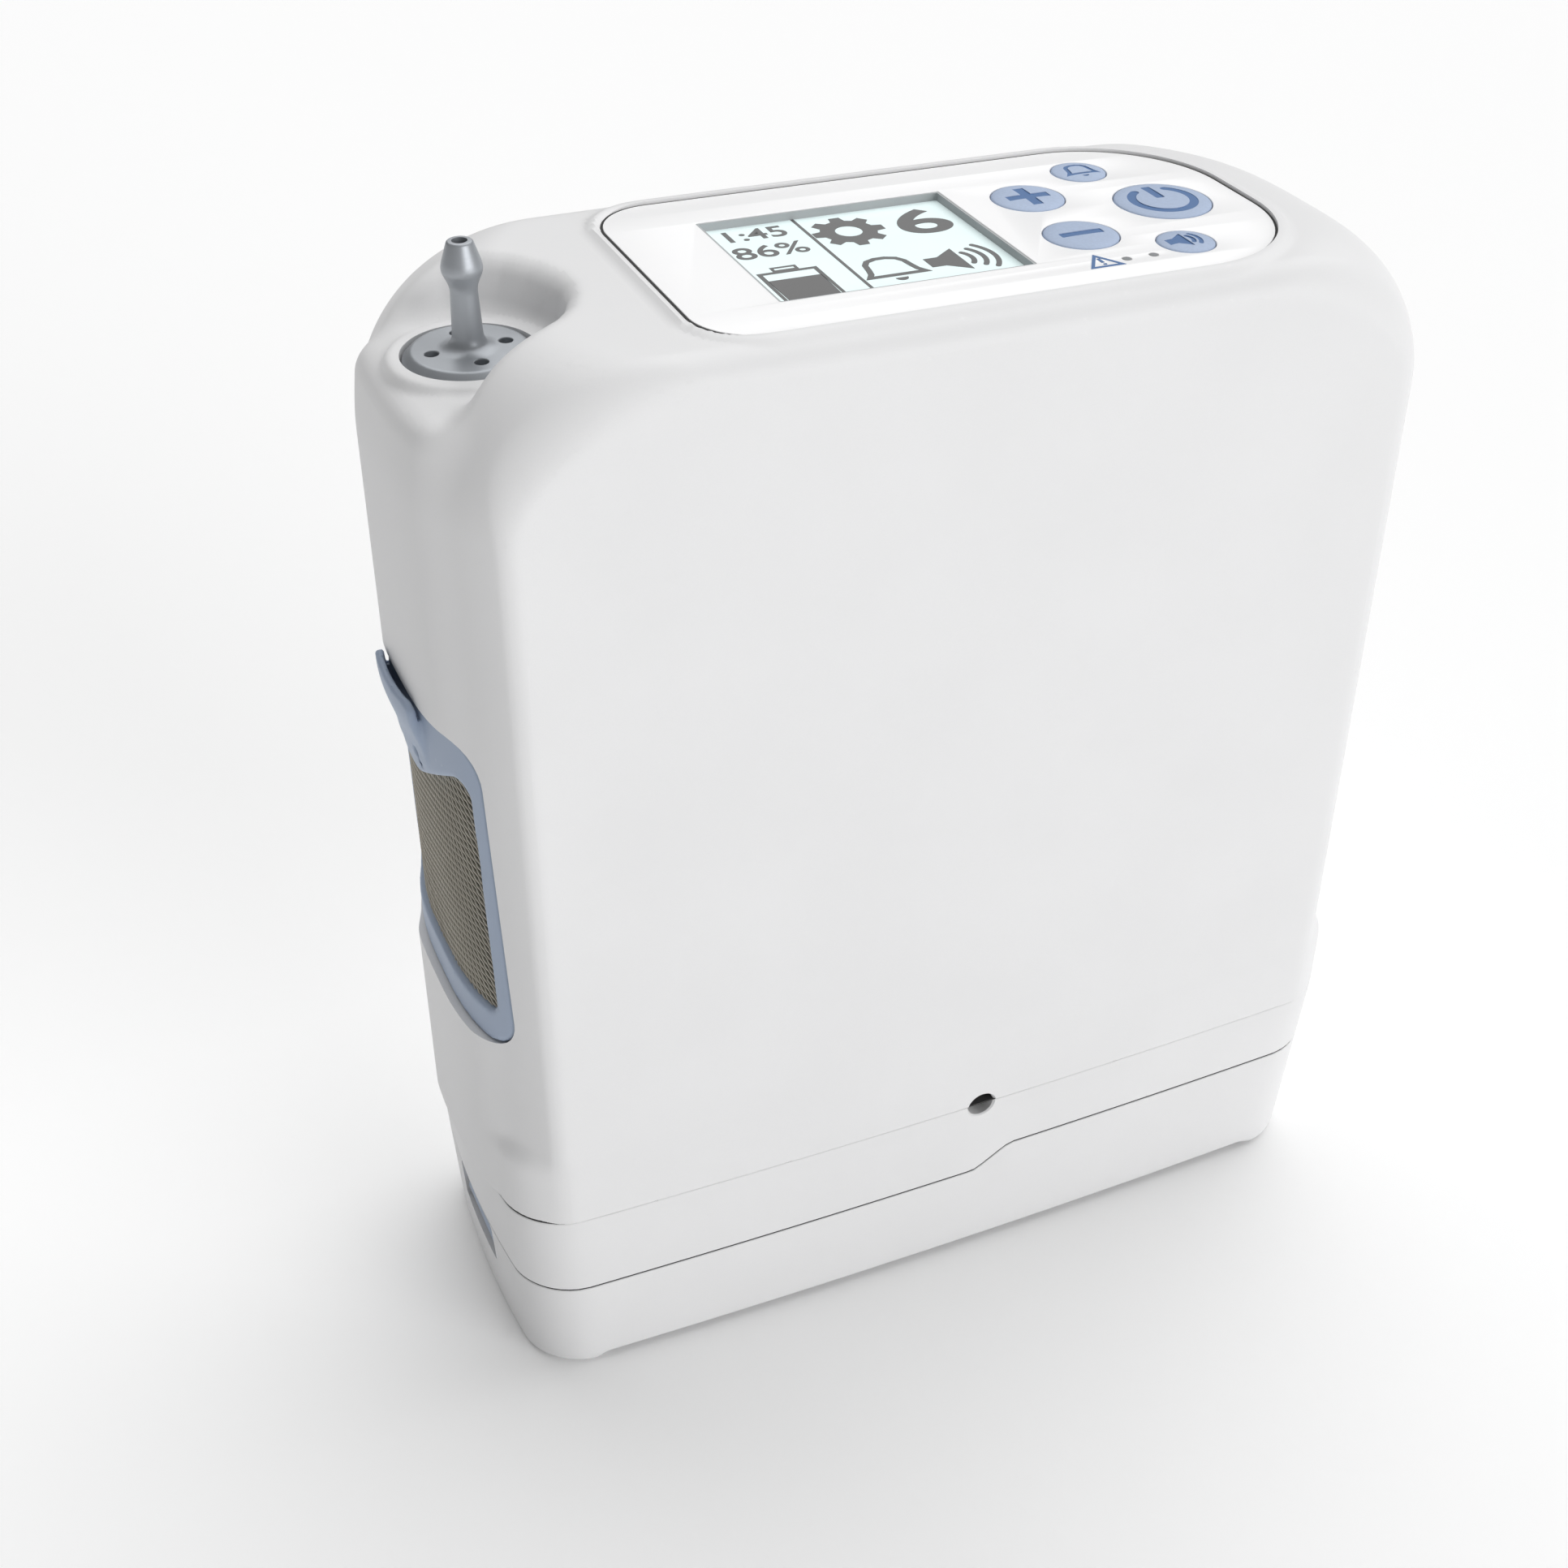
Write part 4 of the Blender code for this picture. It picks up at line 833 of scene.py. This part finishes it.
# %% Node tree for one layer of strands
def strand_tree():
    tree = bpy.data.node_groups.new("strand_layer", "GeometryNodeTree")
    tree.is_modifier = True
    sockets = {}
    tree.interface.new_socket("Geometry", in_out="INPUT", socket_type="NodeSocketGeometry")
    for name, value in (("Pitch", 0.001), ("Turn", 0.785), ("Radius", 0.0002), ("Wave", 0.0001),
                        ("Depth", 0.0), ("Side", 1.0), ("Phase", 0.0)):
        made = tree.interface.new_socket(name, in_out="INPUT", socket_type="NodeSocketFloat")
        made.default_value = value
        sockets[name] = made.identifier
    made = tree.interface.new_socket("Material", in_out="INPUT", socket_type="NodeSocketMaterial")
    sockets["Material"] = made.identifier
    tree.interface.new_socket("Geometry", in_out="OUTPUT", socket_type="NodeSocketGeometry")
    given, result = tree.nodes.new("NodeGroupInput"), tree.nodes.new("NodeGroupOutput")

    def node(kind, settings=(), inputs=(), out=0):
        new = tree.nodes.new(kind)
        for key, value in dict(settings).items():
            setattr(new, key, value)
        for key, value in dict(inputs).items():
            if isinstance(value, bpy.types.NodeSocket):
                tree.links.new(value, new.inputs[key])
            else:
                new.inputs[key].default_value = value
        return new.outputs[out]

    def maths(operation, *values):
        return node("ShaderNodeMath", {"operation": operation}, dict(enumerate(values)))

    def axis(vector, number):
        return node("ShaderNodeSeparateXYZ", {}, {"Vector": vector}, number)

    pitch, across, middle = given.outputs["Pitch"], 74, 0.1132
    offset = node("ShaderNodeCombineXYZ", {}, {"Z": pitch})
    start = node("ShaderNodeCombineXYZ", {}, {"Z": maths("MULTIPLY", pitch, -across / 2)})
    row = node("GeometryNodeMeshLine", {"mode": "OFFSET"}, {"Count": across + 1, "Start Location": start,
                                                             "Offset": offset})
    line = node("GeometryNodeCurvePrimitiveLine", {}, {"Start": (0, -0.04, 0), "End": (0, 0.04, 0)})
    line = node("GeometryNodeResampleCurve", {}, {"Curve": line, "Count": 150})
    rows = node("GeometryNodeInstanceOnPoints", {}, {"Points": row, "Instance": line})
    rows = node("GeometryNodeRealizeInstances", {}, {"Geometry": rows})
    turn = node("ShaderNodeCombineXYZ", {}, {"X": given.outputs["Turn"]})
    flat = node("GeometryNodeInputPosition")
    wave_at = maths("MULTIPLY", axis(flat, 1), maths("DIVIDE", math.pi, pitch))
    column = maths("MULTIPLY", axis(flat, 2), maths("DIVIDE", math.pi, pitch))
    phase = maths("ADD", maths("ADD", wave_at, column), given.outputs["Phase"])
    wave = maths("MULTIPLY", maths("COSINE", phase), given.outputs["Wave"])
    lift = node("ShaderNodeCombineXYZ", {}, {"X": wave})
    lifted = node("ShaderNodeVectorMath", {"operation": "ADD"}, {0: flat, 1: lift})
    rows = node("GeometryNodeSetPosition", {}, {"Geometry": rows, "Position": lifted})
    rows = node("GeometryNodeTransform", {}, {"Geometry": rows, "Rotation": turn,
                                              "Translation": (0, 0, middle)})
    place = node("GeometryNodeInputPosition")
    x, y, z = (axis(place, number) for number in range(3))
    past_y = maths("MAXIMUM", maths("SUBTRACT", maths("ABSOLUTE", y), 0.0215), 0.0)
    past_z = maths("MAXIMUM", maths("SUBTRACT", maths("ABSOLUTE", maths("SUBTRACT", z, middle)), 0.0214), 0.0)
    squares = maths("ADD", maths("MULTIPLY", past_y, past_y), maths("MULTIPLY", past_z, past_z))
    outside = maths("SUBTRACT", maths("SQRT", squares), 0.0035)
    gone = node("FunctionNodeCompare", {"data_type": "FLOAT", "operation": "GREATER_THAN"},
                {0: outside, 1: 0.0})
    rows = node("GeometryNodeDeleteGeometry", {"domain": "POINT"}, {"Geometry": rows, "Selection": gone})
    cube = maths("MULTIPLY", maths("POWER", maths("ABSOLUTE", y), 3.0), SWEEP / MM**2)
    reach = maths("SUBTRACT", maths("SUBTRACT", HALF_LENGTH * MM, cube), given.outputs["Depth"])
    out = maths("MULTIPLY", maths("ADD", reach, x), given.outputs["Side"])
    bent = node("ShaderNodeCombineXYZ", {}, {"X": out, "Y": y, "Z": z})
    rows = node("GeometryNodeSetPosition", {}, {"Geometry": rows, "Position": bent})
    section = node("GeometryNodeCurvePrimitiveCircle", {}, {
        "Resolution": 5, "Radius": given.outputs["Radius"]})
    tubes = node("GeometryNodeCurveToMesh", {}, {"Curve": rows, "Profile Curve": section, "Fill Caps": True})
    tubes = node("GeometryNodeRealizeInstances", {}, {"Geometry": tubes})
    tubes = node("GeometryNodeSetMaterial", {}, {"Geometry": tubes, "Material": given.outputs["Material"]})
    tree.links.new(tubes, result.inputs[0])
    return tree, sockets


strands, strand_inputs = strand_tree()


def grown(name, tree, sockets, values):
    """The tree's result as a plain mesh object."""
    carrier = bpy.data.objects.new(name, bpy.data.meshes.new(name + "_seed"))
    bpy.context.scene.collection.objects.link(carrier)
    step = carrier.modifiers.new("grow", "NODES")
    step.node_group = tree
    for key, value in values.items():
        step[sockets[key]] = value
    return applied(carrier)


# %% Weave both screens
strand_light = moulded("strand_light", (0.42, 0.39, 0.33), 0.6, grain=0.3, depth=0.004, tone=0.08)
# The under layer's dark strands and the near-black backing sheet are painted shade: they stand in for the
# shadow seen between the light strands.
strand_shaded = moulded("strand_shaded", (0.085, 0.08, 0.068), 0.7, grain=0.3, depth=0.004, tone=0.08)
screen_shade_sheet = moulded("screen_shade_sheet", (0.030, 0.028, 0.024), 0.85, grain=0.3, depth=0.01, tone=0.1)
for side, sign in (("right", 1.0), ("left", -1.0)):
    shared = {"Side": sign, "Wave": 0.08 * MM}
    over = grown(f"{side}_screen_weft", strands, strand_inputs, {
        **shared, "Pitch": 1.05 * MM, "Turn": 0.62, "Radius": 0.25 * MM, "Depth": 1.45 * MM, "Phase": 0.0,
        "Material": strand_light})
    under = grown(f"{side}_screen_warp", strands, strand_inputs, {
        **shared, "Pitch": 1.25 * MM, "Turn": -0.95, "Radius": 0.14 * MM, "Depth": 2.0 * MM, "Phase": math.pi,
        "Material": strand_shaded})
    rows = np.linspace(-25.0, 25.0, 37)
    sheet = [[(sign * (facet(y) - 2.35), y, z) for y in rows]
             + [(sign * (facet(y) - 2.15), y, z) for y in rows[::-1]]
             for z in (88.3, 138.0)]
    backing = solid(f"{side}_screen_shade_sheet", sheet, screen_shade_sheet)
    finish_edges(backing, 40)
    for piece in (over, under, backing):
        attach(piece, f"filter_{side}")
        piece.data.shade_smooth()
    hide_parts(f"filter_mesh_{side}")
    print(side, "screen", len(over.data.polygons) + len(under.data.polygons), "faces")

# %% [markdown]
# ## The outlet
# The outlet is one turned piece: a flange with a chamfer, a waisted stem that runs out of the
# flange in a soft fillet, and a barb that grips the tubing. Its corners are rounded in the
# profile before it is spun. Four blind holes for a spanner and the bore are then drilled.

# %% The outlet nozzle
flange = 203.1
spigot = [(-10.5, 0.0, 0), (-10.5, 4.6, 0.3), (-2.6, 4.6, 0), (-2.6, 10.6, 0.15)]
stem = [(-1.4, 10.6, 0.3), (-0.05, 9.2, 0.4), (0.05, 3.9, 1.3), (1.4, 2.5, 1.0), (10.0, 2.12, 0.9)]
barb = [(11.6, 2.8, 0.7), (12.7, 3.3, 0.6), (13.8, 3.2, 0.6), (17.2, 2.1, 0.2), (17.4, 1.85, 0.1),
        (17.4, 0.0, 0)]
corners = [(flange + rise, r, rounding) for rise, r, rounding in spigot + stem + barb]
profile = [(a, max(r, 0.01)) for a, r in rounded_profile(corners)]
outlet = lathe("outlet_barb", OUTLET, profile, plated, sides=112)
drills = [lathe("bore", OUTLET, [(180, 1.25), (230, 1.25)], plated, sides=40)]
for k in range(4):
    turn = math.radians(2 + 90 * k)
    at = (OUTLET[0] + 6.1 * math.cos(turn), OUTLET[1] + 6.1 * math.sin(turn))
    drills.append(lathe(f"spanner_{k}", at, [(flange - 1.8, 1.15), (flange - 0.1, 1.15), (flange + 0.2, 1.4)],
                        black_plastic, sides=32))
cut_away(outlet, drills)
finish_edges(outlet, 38)
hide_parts("outlet_nozzle")
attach(outlet, "housing")
print("outlet", len(outlet.data.polygons), "faces")

# %% [markdown]
# ## The control panel
# The panel is a bright printed plate with a window and five button holes. It is drawn as flat
# outlines in its own sloping frame, where z = 0 is the printed face, and a small bevel rounds its
# edges. Everything else on the top is built in that same frame.

# %% Panel plate
WINDOW = (-30.5, 14.9, -18.0, 18.0)
BUTTONS = {"plus": (28.0, 9.3, 6.6), "minus": (28.0, -9.3, 6.6), "power": (49.5, 0.0, 8.7),
           "alarm": (43.0, 18.0, 5.1), "sound": (43.0, -18.0, 5.1)}
LIGHTS = ((29.8, -21.1), (34.9, -21.1))
loops = [panel_loop(), rectangle(*WINDOW, 0.4)]
loops += [arc(x, y, r, 0, 360, 64)[:-1] for x, y, r in BUTTONS.values()]
loops += [arc(x, y, 0.85, 0, 360, 24)[:-1] for x, y in LIGHTS]
panel = flat_shape("panel_plate", loops, -1.2, 0.0, panel_film, 0.12)
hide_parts("control_panel")
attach(panel, "housing")
liner = flat_shape("window_liner", [rectangle(*WINDOW, 0.4), rectangle(-30.1, 14.5, -17.6, 17.6, 0.3)],
                   -1.6, -0.12, recess_grey)
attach(liner, "housing")
dots = [flat_shape(f"status_dot_{k}", [arc(x, y, 0.8, 0, 360, 24)[:-1]], -1.1, -0.05, dot_grey)
        for k, (x, y) in enumerate(LIGHTS)]
for dot in dots:
    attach(dot, "housing")
# A dark ring in the gap round the panel's edge is painted shade, standing in for the shadow in that gap.
panel_edge_shadow = flat_shape("panel_edge_shadow_ring", [panel_loop(0.43), panel_loop(0.02)], -1.45, -0.12, painted_gap_shadow)
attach(panel_edge_shadow, "housing")
print("panel", len(panel.data.polygons), "faces")

# %% [markdown]
# ## Symbols
# Every symbol on the top is generic: plus, minus, power, bell, loudspeaker, warning triangle,
# gear, battery and plain digits. Each is a set of outlines around zero, later moved into place.
# The helper for strokes gives a line of points an even width with round ends.


# %% Outlines of the symbols
def stroke(points, width):
    """An even-width band along open points, with round ends."""
    pts = [Vector(p) for p in points]
    left, right = [], []
    for k, p in enumerate(pts):
        d = (pts[min(k + 1, len(pts) - 1)] - pts[max(k - 1, 0)]).normalized()
        n = Vector((-d.y, d.x)) * width / 2
        left.append(tuple(p + n))
        right.append(tuple(p - n))

    def end_cap(p, d):
        turn = math.degrees(math.atan2(d.y, d.x))
        return arc(p.x, p.y, width / 2, turn - 90, turn + 90, 8)[1:-1]

    return right + end_cap(pts[-1], pts[-1] - pts[-2]) + left[::-1] + end_cap(pts[0], pts[0] - pts[1])


def closed_band(points, width):
    """An outline and its copy moved inwards, for a line drawing of a closed shape."""
    inner = []
    count = len(points)
    for k in range(count):
        a, b, c = (Vector(points[(k + s) % count]) for s in (-1, 0, 1))
        d, e = (b - a).normalized(), (c - b).normalized()
        n = Vector((-d.y - e.y, d.x + e.x)).normalized()
        inner.append(tuple(b + n * width / max(n.dot(Vector((-e.y, e.x))), 0.5)))
    return [points, inner]


def bell(size, width):
    """A bell's outline with its clapper, size tall."""
    s = size / 10
    right = [(0.9, 4.3), (2.6, 3.6), (3.5, 2.2), (3.8, 0.2), (4.1, -1.2), (5.2, -3.0)]
    right = [(x * s, y * s) for x, y in right]
    body = right[::-1] + [(-x, y) for x, y in right]
    clapper = arc(0, -3.7 * s, 1.0 * s, 180, 360, 10)
    return closed_band(body, width) + [clapper]


def speaker(size, waves, width):
    s = size / 10
    cone = [(-5, -1.6), (-2.8, -1.6), (0.4, -4.0), (0.4, 4.0), (-2.8, 1.6), (-5, 1.6)]
    loops = [[(x * s, y * s) for x, y in cone]]
    for k in range(waves):
        loops.append(stroke(arc(-1.2 * s, 0, (3.2 + 1.75 * k) * s, -38, 38, 12), width))
    return loops


def gear(radius, teeth=8):
    loop = []
    for k in range(teeth):
        for turn, r in ((-15, 0.76), (-8.5, 1.0), (8.5, 1.0), (15, 0.76)):
            a = math.radians(360 / teeth * k + turn)
            loop.append((radius * r * math.cos(a), radius * r * math.sin(a)))
    return [loop, arc(0, 0, radius * 0.36, 0, 360, 32)[:-1]]


def plus(arm, width):
    h = width / 2
    return [[(-h, -arm), (h, -arm), (h, -h), (arm, -h), (arm, h), (h, h), (h, arm), (-h, arm), (-h, h),
             (-arm, h), (-arm, -h), (-h, -h)]]


def moved(loops, x, y, turn=0.0):
    c, s = math.cos(math.radians(turn)), math.sin(math.radians(turn))
    return [[(x + c * u - s * v, y + s * u + c * v) for u, v in loop] for loop in loops]


# %% [markdown]
# ## The buttons
# The buttons are soft mouldings, slightly domed, with their symbol pressed a little way in and
# filled with ink. The dome is turned from a profile, the symbol is cut into it, and an ink piece
# lies at the bottom of the cut. Cap and ink ride on the same body, so they sink together.

# %% Make the five buttons
power_ring = stroke(arc(0, 0, 5.4, 124, 416, 40), 1.6)
SYMBOLS = {
    "plus": plus(4.0, 2.0), "minus": [rectangle(-4.0, 4.0, -0.9, 0.9, 0.3)],
    "power": [power_ring, rectangle(-0.85, 0.85, 0.6, 6.3, 0.3)],
    "alarm": bell(6.6, 0.8), "sound": moved(speaker(6.8, 2, 0.8), -0.2, 0)}
for name, (x, y, r) in BUTTONS.items():
    cap_r = r - 0.18
    corners = [(-4.4, 0.01, 0), (-4.4, 2.0, 0.2), (-2.6, 2.0, 0), (-2.6, r + 0.7, 0.1), (-1.6, r + 0.7, 0.1),
               (-1.6, cap_r, 0), (0.02, cap_r, 0.35), (0.30, cap_r - 1.3, 0.6), (0.42, cap_r * 0.45, 0.6),
               (0.44, 0.01, 0)]
    cap = lathe(f"cap_{name}", (x, y), rounded_profile(corners, 4), button_soft, sides=72)
    cap.data.transform(PANEL_FRAME)
    symbol = moved(SYMBOLS[name], x, y)
    cutter = flat_shape(f"press_{name}", symbol, 0.08, 2.0, icon_blue)
    cut_away(cap, [cutter])
    finish_edges(cap, 35)
    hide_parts(f"button_{name}")
    ink = flat_shape(f"ink_{name}", symbol, 0.06, 0.27, icon_blue)
    for piece in (cap, ink):
        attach(piece, f"button_{name}")
    print("button", name, len(cap.data.polygons), "faces")

# %% [markdown]
# ## The display
# Behind the window lies a pale backlit screen with dark grey content: a time, a charge figure, a
# battery, a divider, a gear, a flow setting, a bell and a loudspeaker. The digits come from
# Blender's own font, made into meshes; the rest are outlines.


# %% Digits
def digits(name, text, x, y, height, material, low, high, stretch=1.0, bold=0.0):
    """Plain figures as a mesh, with x, y at their middle."""
    curve = bpy.data.curves.new(name, "FONT")
    curve.body, curve.size, curve.extrude, curve.offset = text, height / 0.7 * MM, 0.0, bold * MM
    curve.align_x, curve.align_y = "CENTER", "CENTER"
    written = bpy.data.objects.new(name + "_text", curve)
    bpy.context.scene.collection.objects.link(written)
    mesh = bpy.data.meshes.new_from_object(written.evaluated_get(bpy.context.evaluated_depsgraph_get()))
    bpy.data.objects.remove(written, do_unlink=True)
    mesh.transform(Matrix.Diagonal((stretch, 1, 1, 1)))
    mesh.transform(Matrix.Translation((x * MM, y * MM, (low + high) / 2 * MM)))
    mesh.materials.clear()
    mesh.materials.append(material)
    obj = bpy.data.objects.new(name, mesh)
    bpy.context.scene.collection.objects.link(obj)
    step = obj.modifiers.new("thick", "SOLIDIFY")
    step.thickness, step.offset = (high - low) * MM, 0
    applied(obj)
    obj.data.transform(PANEL_FRAME)
    return finish_edges(obj)


# %% Screen and its content
INK = (-1.52, -1.46)
glow = flat_shape("display_sheet", [rectangle(-30.4, 14.8, -17.9, 17.9)], -4.9, -1.5, display_glow)
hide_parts("display_module")
content = [
    digits("time_digits", "1:45", -21.9, 13.3, 4.6, ink_grey, *INK, stretch=1.1, bold=0.08),
    digits("charge_digits", "86%", -21.9, 5.6, 5.0, ink_grey, *INK, stretch=1.10, bold=0.08),
    digits("flow_digit", "6", 7.4, 8.7, 10.4, ink_grey, *INK, stretch=1.4, bold=0.3),
    flat_shape("charge_mark", [
        *closed_band(rectangle(-28.2, -17.6, -15.4, -3.0), 0.8),
        rectangle(-27.6, -18.2, -14.8, -6.4)], *INK, ink_grey),
    flat_shape("charge_cap", closed_band(rectangle(-25.2, -20.6, -3.0, -1.2), 0.55), *INK, ink_grey),
    flat_shape("divider", [rectangle(-13.3, -12.7, -17.6, 17.6)], *INK, ink_grey),
    flat_shape("gear_mark", moved(gear(6.5), -6.1, 9.3), *INK, ink_grey),
    flat_shape("bell_mark", moved(bell(11.4, 1.05), -6.6, -8.0), *INK, ink_grey),
    flat_shape("sound_mark", moved(speaker(11.6, 3, 0.95), 5.8, -8.3), *INK, ink_grey)]
warning = [closed_band([(-3.3, -2.3), (3.3, -2.3), (0, 3.1)], 0.6), [rectangle(-0.3, 0.3, -0.5, 1.3, 0.1)],
           [rectangle(-0.3, 0.3, -1.4, -0.9, 0.1)]]
content.append(flat_shape("warning_mark", moved(sum(warning, []), 25.2, -20.9), 0.0, 0.05, icon_blue))
for piece in (glow, *content):
    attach(piece, "housing")
print("display", len(content), "marks")

# %% [markdown]
# ## The works inside
# Nothing of the compressor, the valves or the boards shows while the device is closed, but the
# pieces are there and appear when the battery is off or the model is taken apart. Their solids
# stay as they are, and each gets the finish of its real counterpart.

# %% Finishes for the inner pieces
INNER = {
    black_plastic: ["power_jack", "battery_socket", "fan_frame", "alarm_buzzer", "motor_rotor"],
    rubber_black: ["nozzle_seal", "keypad", "outlet_hose", "vibration_mount"],
    board_green: ["display_board", "main_board", "battery_board"],
    cast_metal: ["chassis", "crankcase", "valve_block", "piston", "cylinder_head", "sieve_column"],
    steel_metal: ["crankshaft", "latch_pin", "latch_spring", "jack_pin", "power_contacts", "motor_stator",
                  "solenoid_valve"],
    cell_blue: ["battery_cell"],
    works_grey: ["battery_lid", "light_guide", "fan_rotor", "lower_manifold", "upper_manifold",
                 "product_tank"]}
dressed = 0
for material, names in INNER.items():
    for node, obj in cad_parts.items():
        if any(node.startswith(name) for name in names):
            obj.data.materials.clear()
            obj.data.materials.append(material)
            dressed += 1
print("inner pieces dressed", dressed)

# %% [markdown]
# ## Stage, light and camera
# A white floor, an even white surround and two broad suns: one overhead, leaning in from behind
# on the right, and one from the front right for the large face. The outlet's end stays in gentle
# shade, which is what shows the edge between it and the front.

# %% Floor and surround
floor_finish = moulded("studio_floor", (1.0, 1.0, 1.0), 0.9, grain=4.0, depth=0.0, tone=0.002)
floor = new_object("studio_floor", [(-9000, -9000, 0), (9000, -9000, 0), (9000, 9000, 0), (-9000, 9000, 0)],
                   [(0, 1, 2, 3)], floor_finish, smooth=False)
world = bpy.context.scene.world or bpy.data.worlds.new("surround")
bpy.context.scene.world = world
world.use_nodes = True
world.node_tree.nodes["Background"].inputs["Color"].default_value = (1, 1, 1, 1)
world.node_tree.nodes["Background"].inputs["Strength"].default_value = 0.24
bpy.context.scene.view_settings.view_transform = "Standard"


def wide_light(name, towards, share, spread):
    """A far, broad lamp. share is how bright it alone makes a white wall that faces it."""
    data = bpy.data.lights.new(name, "SUN")
    data.energy, data.angle = share * math.pi, math.radians(spread)
    obj = bpy.data.objects.new(name, data)
    bpy.context.scene.collection.objects.link(obj)
    obj.rotation_euler = Vector(towards).to_track_quat("Z", "Y").to_euler()
    return obj


wide_light("overhead", (0.35, 0.45, 1.0), 0.71, 75)
wide_light("front", (0.50, -1.0, 0.18), 0.66, 45)

# %% Camera
camera = bpy.data.cameras.new("camera")
camera.lens, camera.sensor_width = 50.0, 36.0
camera.clip_start, camera.clip_end = 0.01, 50.0
viewer = bpy.data.objects.new("camera", camera)
bpy.context.scene.collection.objects.link(viewer)
viewer.location = (-0.15603, -0.31062, 0.34431)
viewer.rotation_euler = (math.radians(54.66), 0, math.radians(-23.335))
bpy.context.scene.camera = viewer
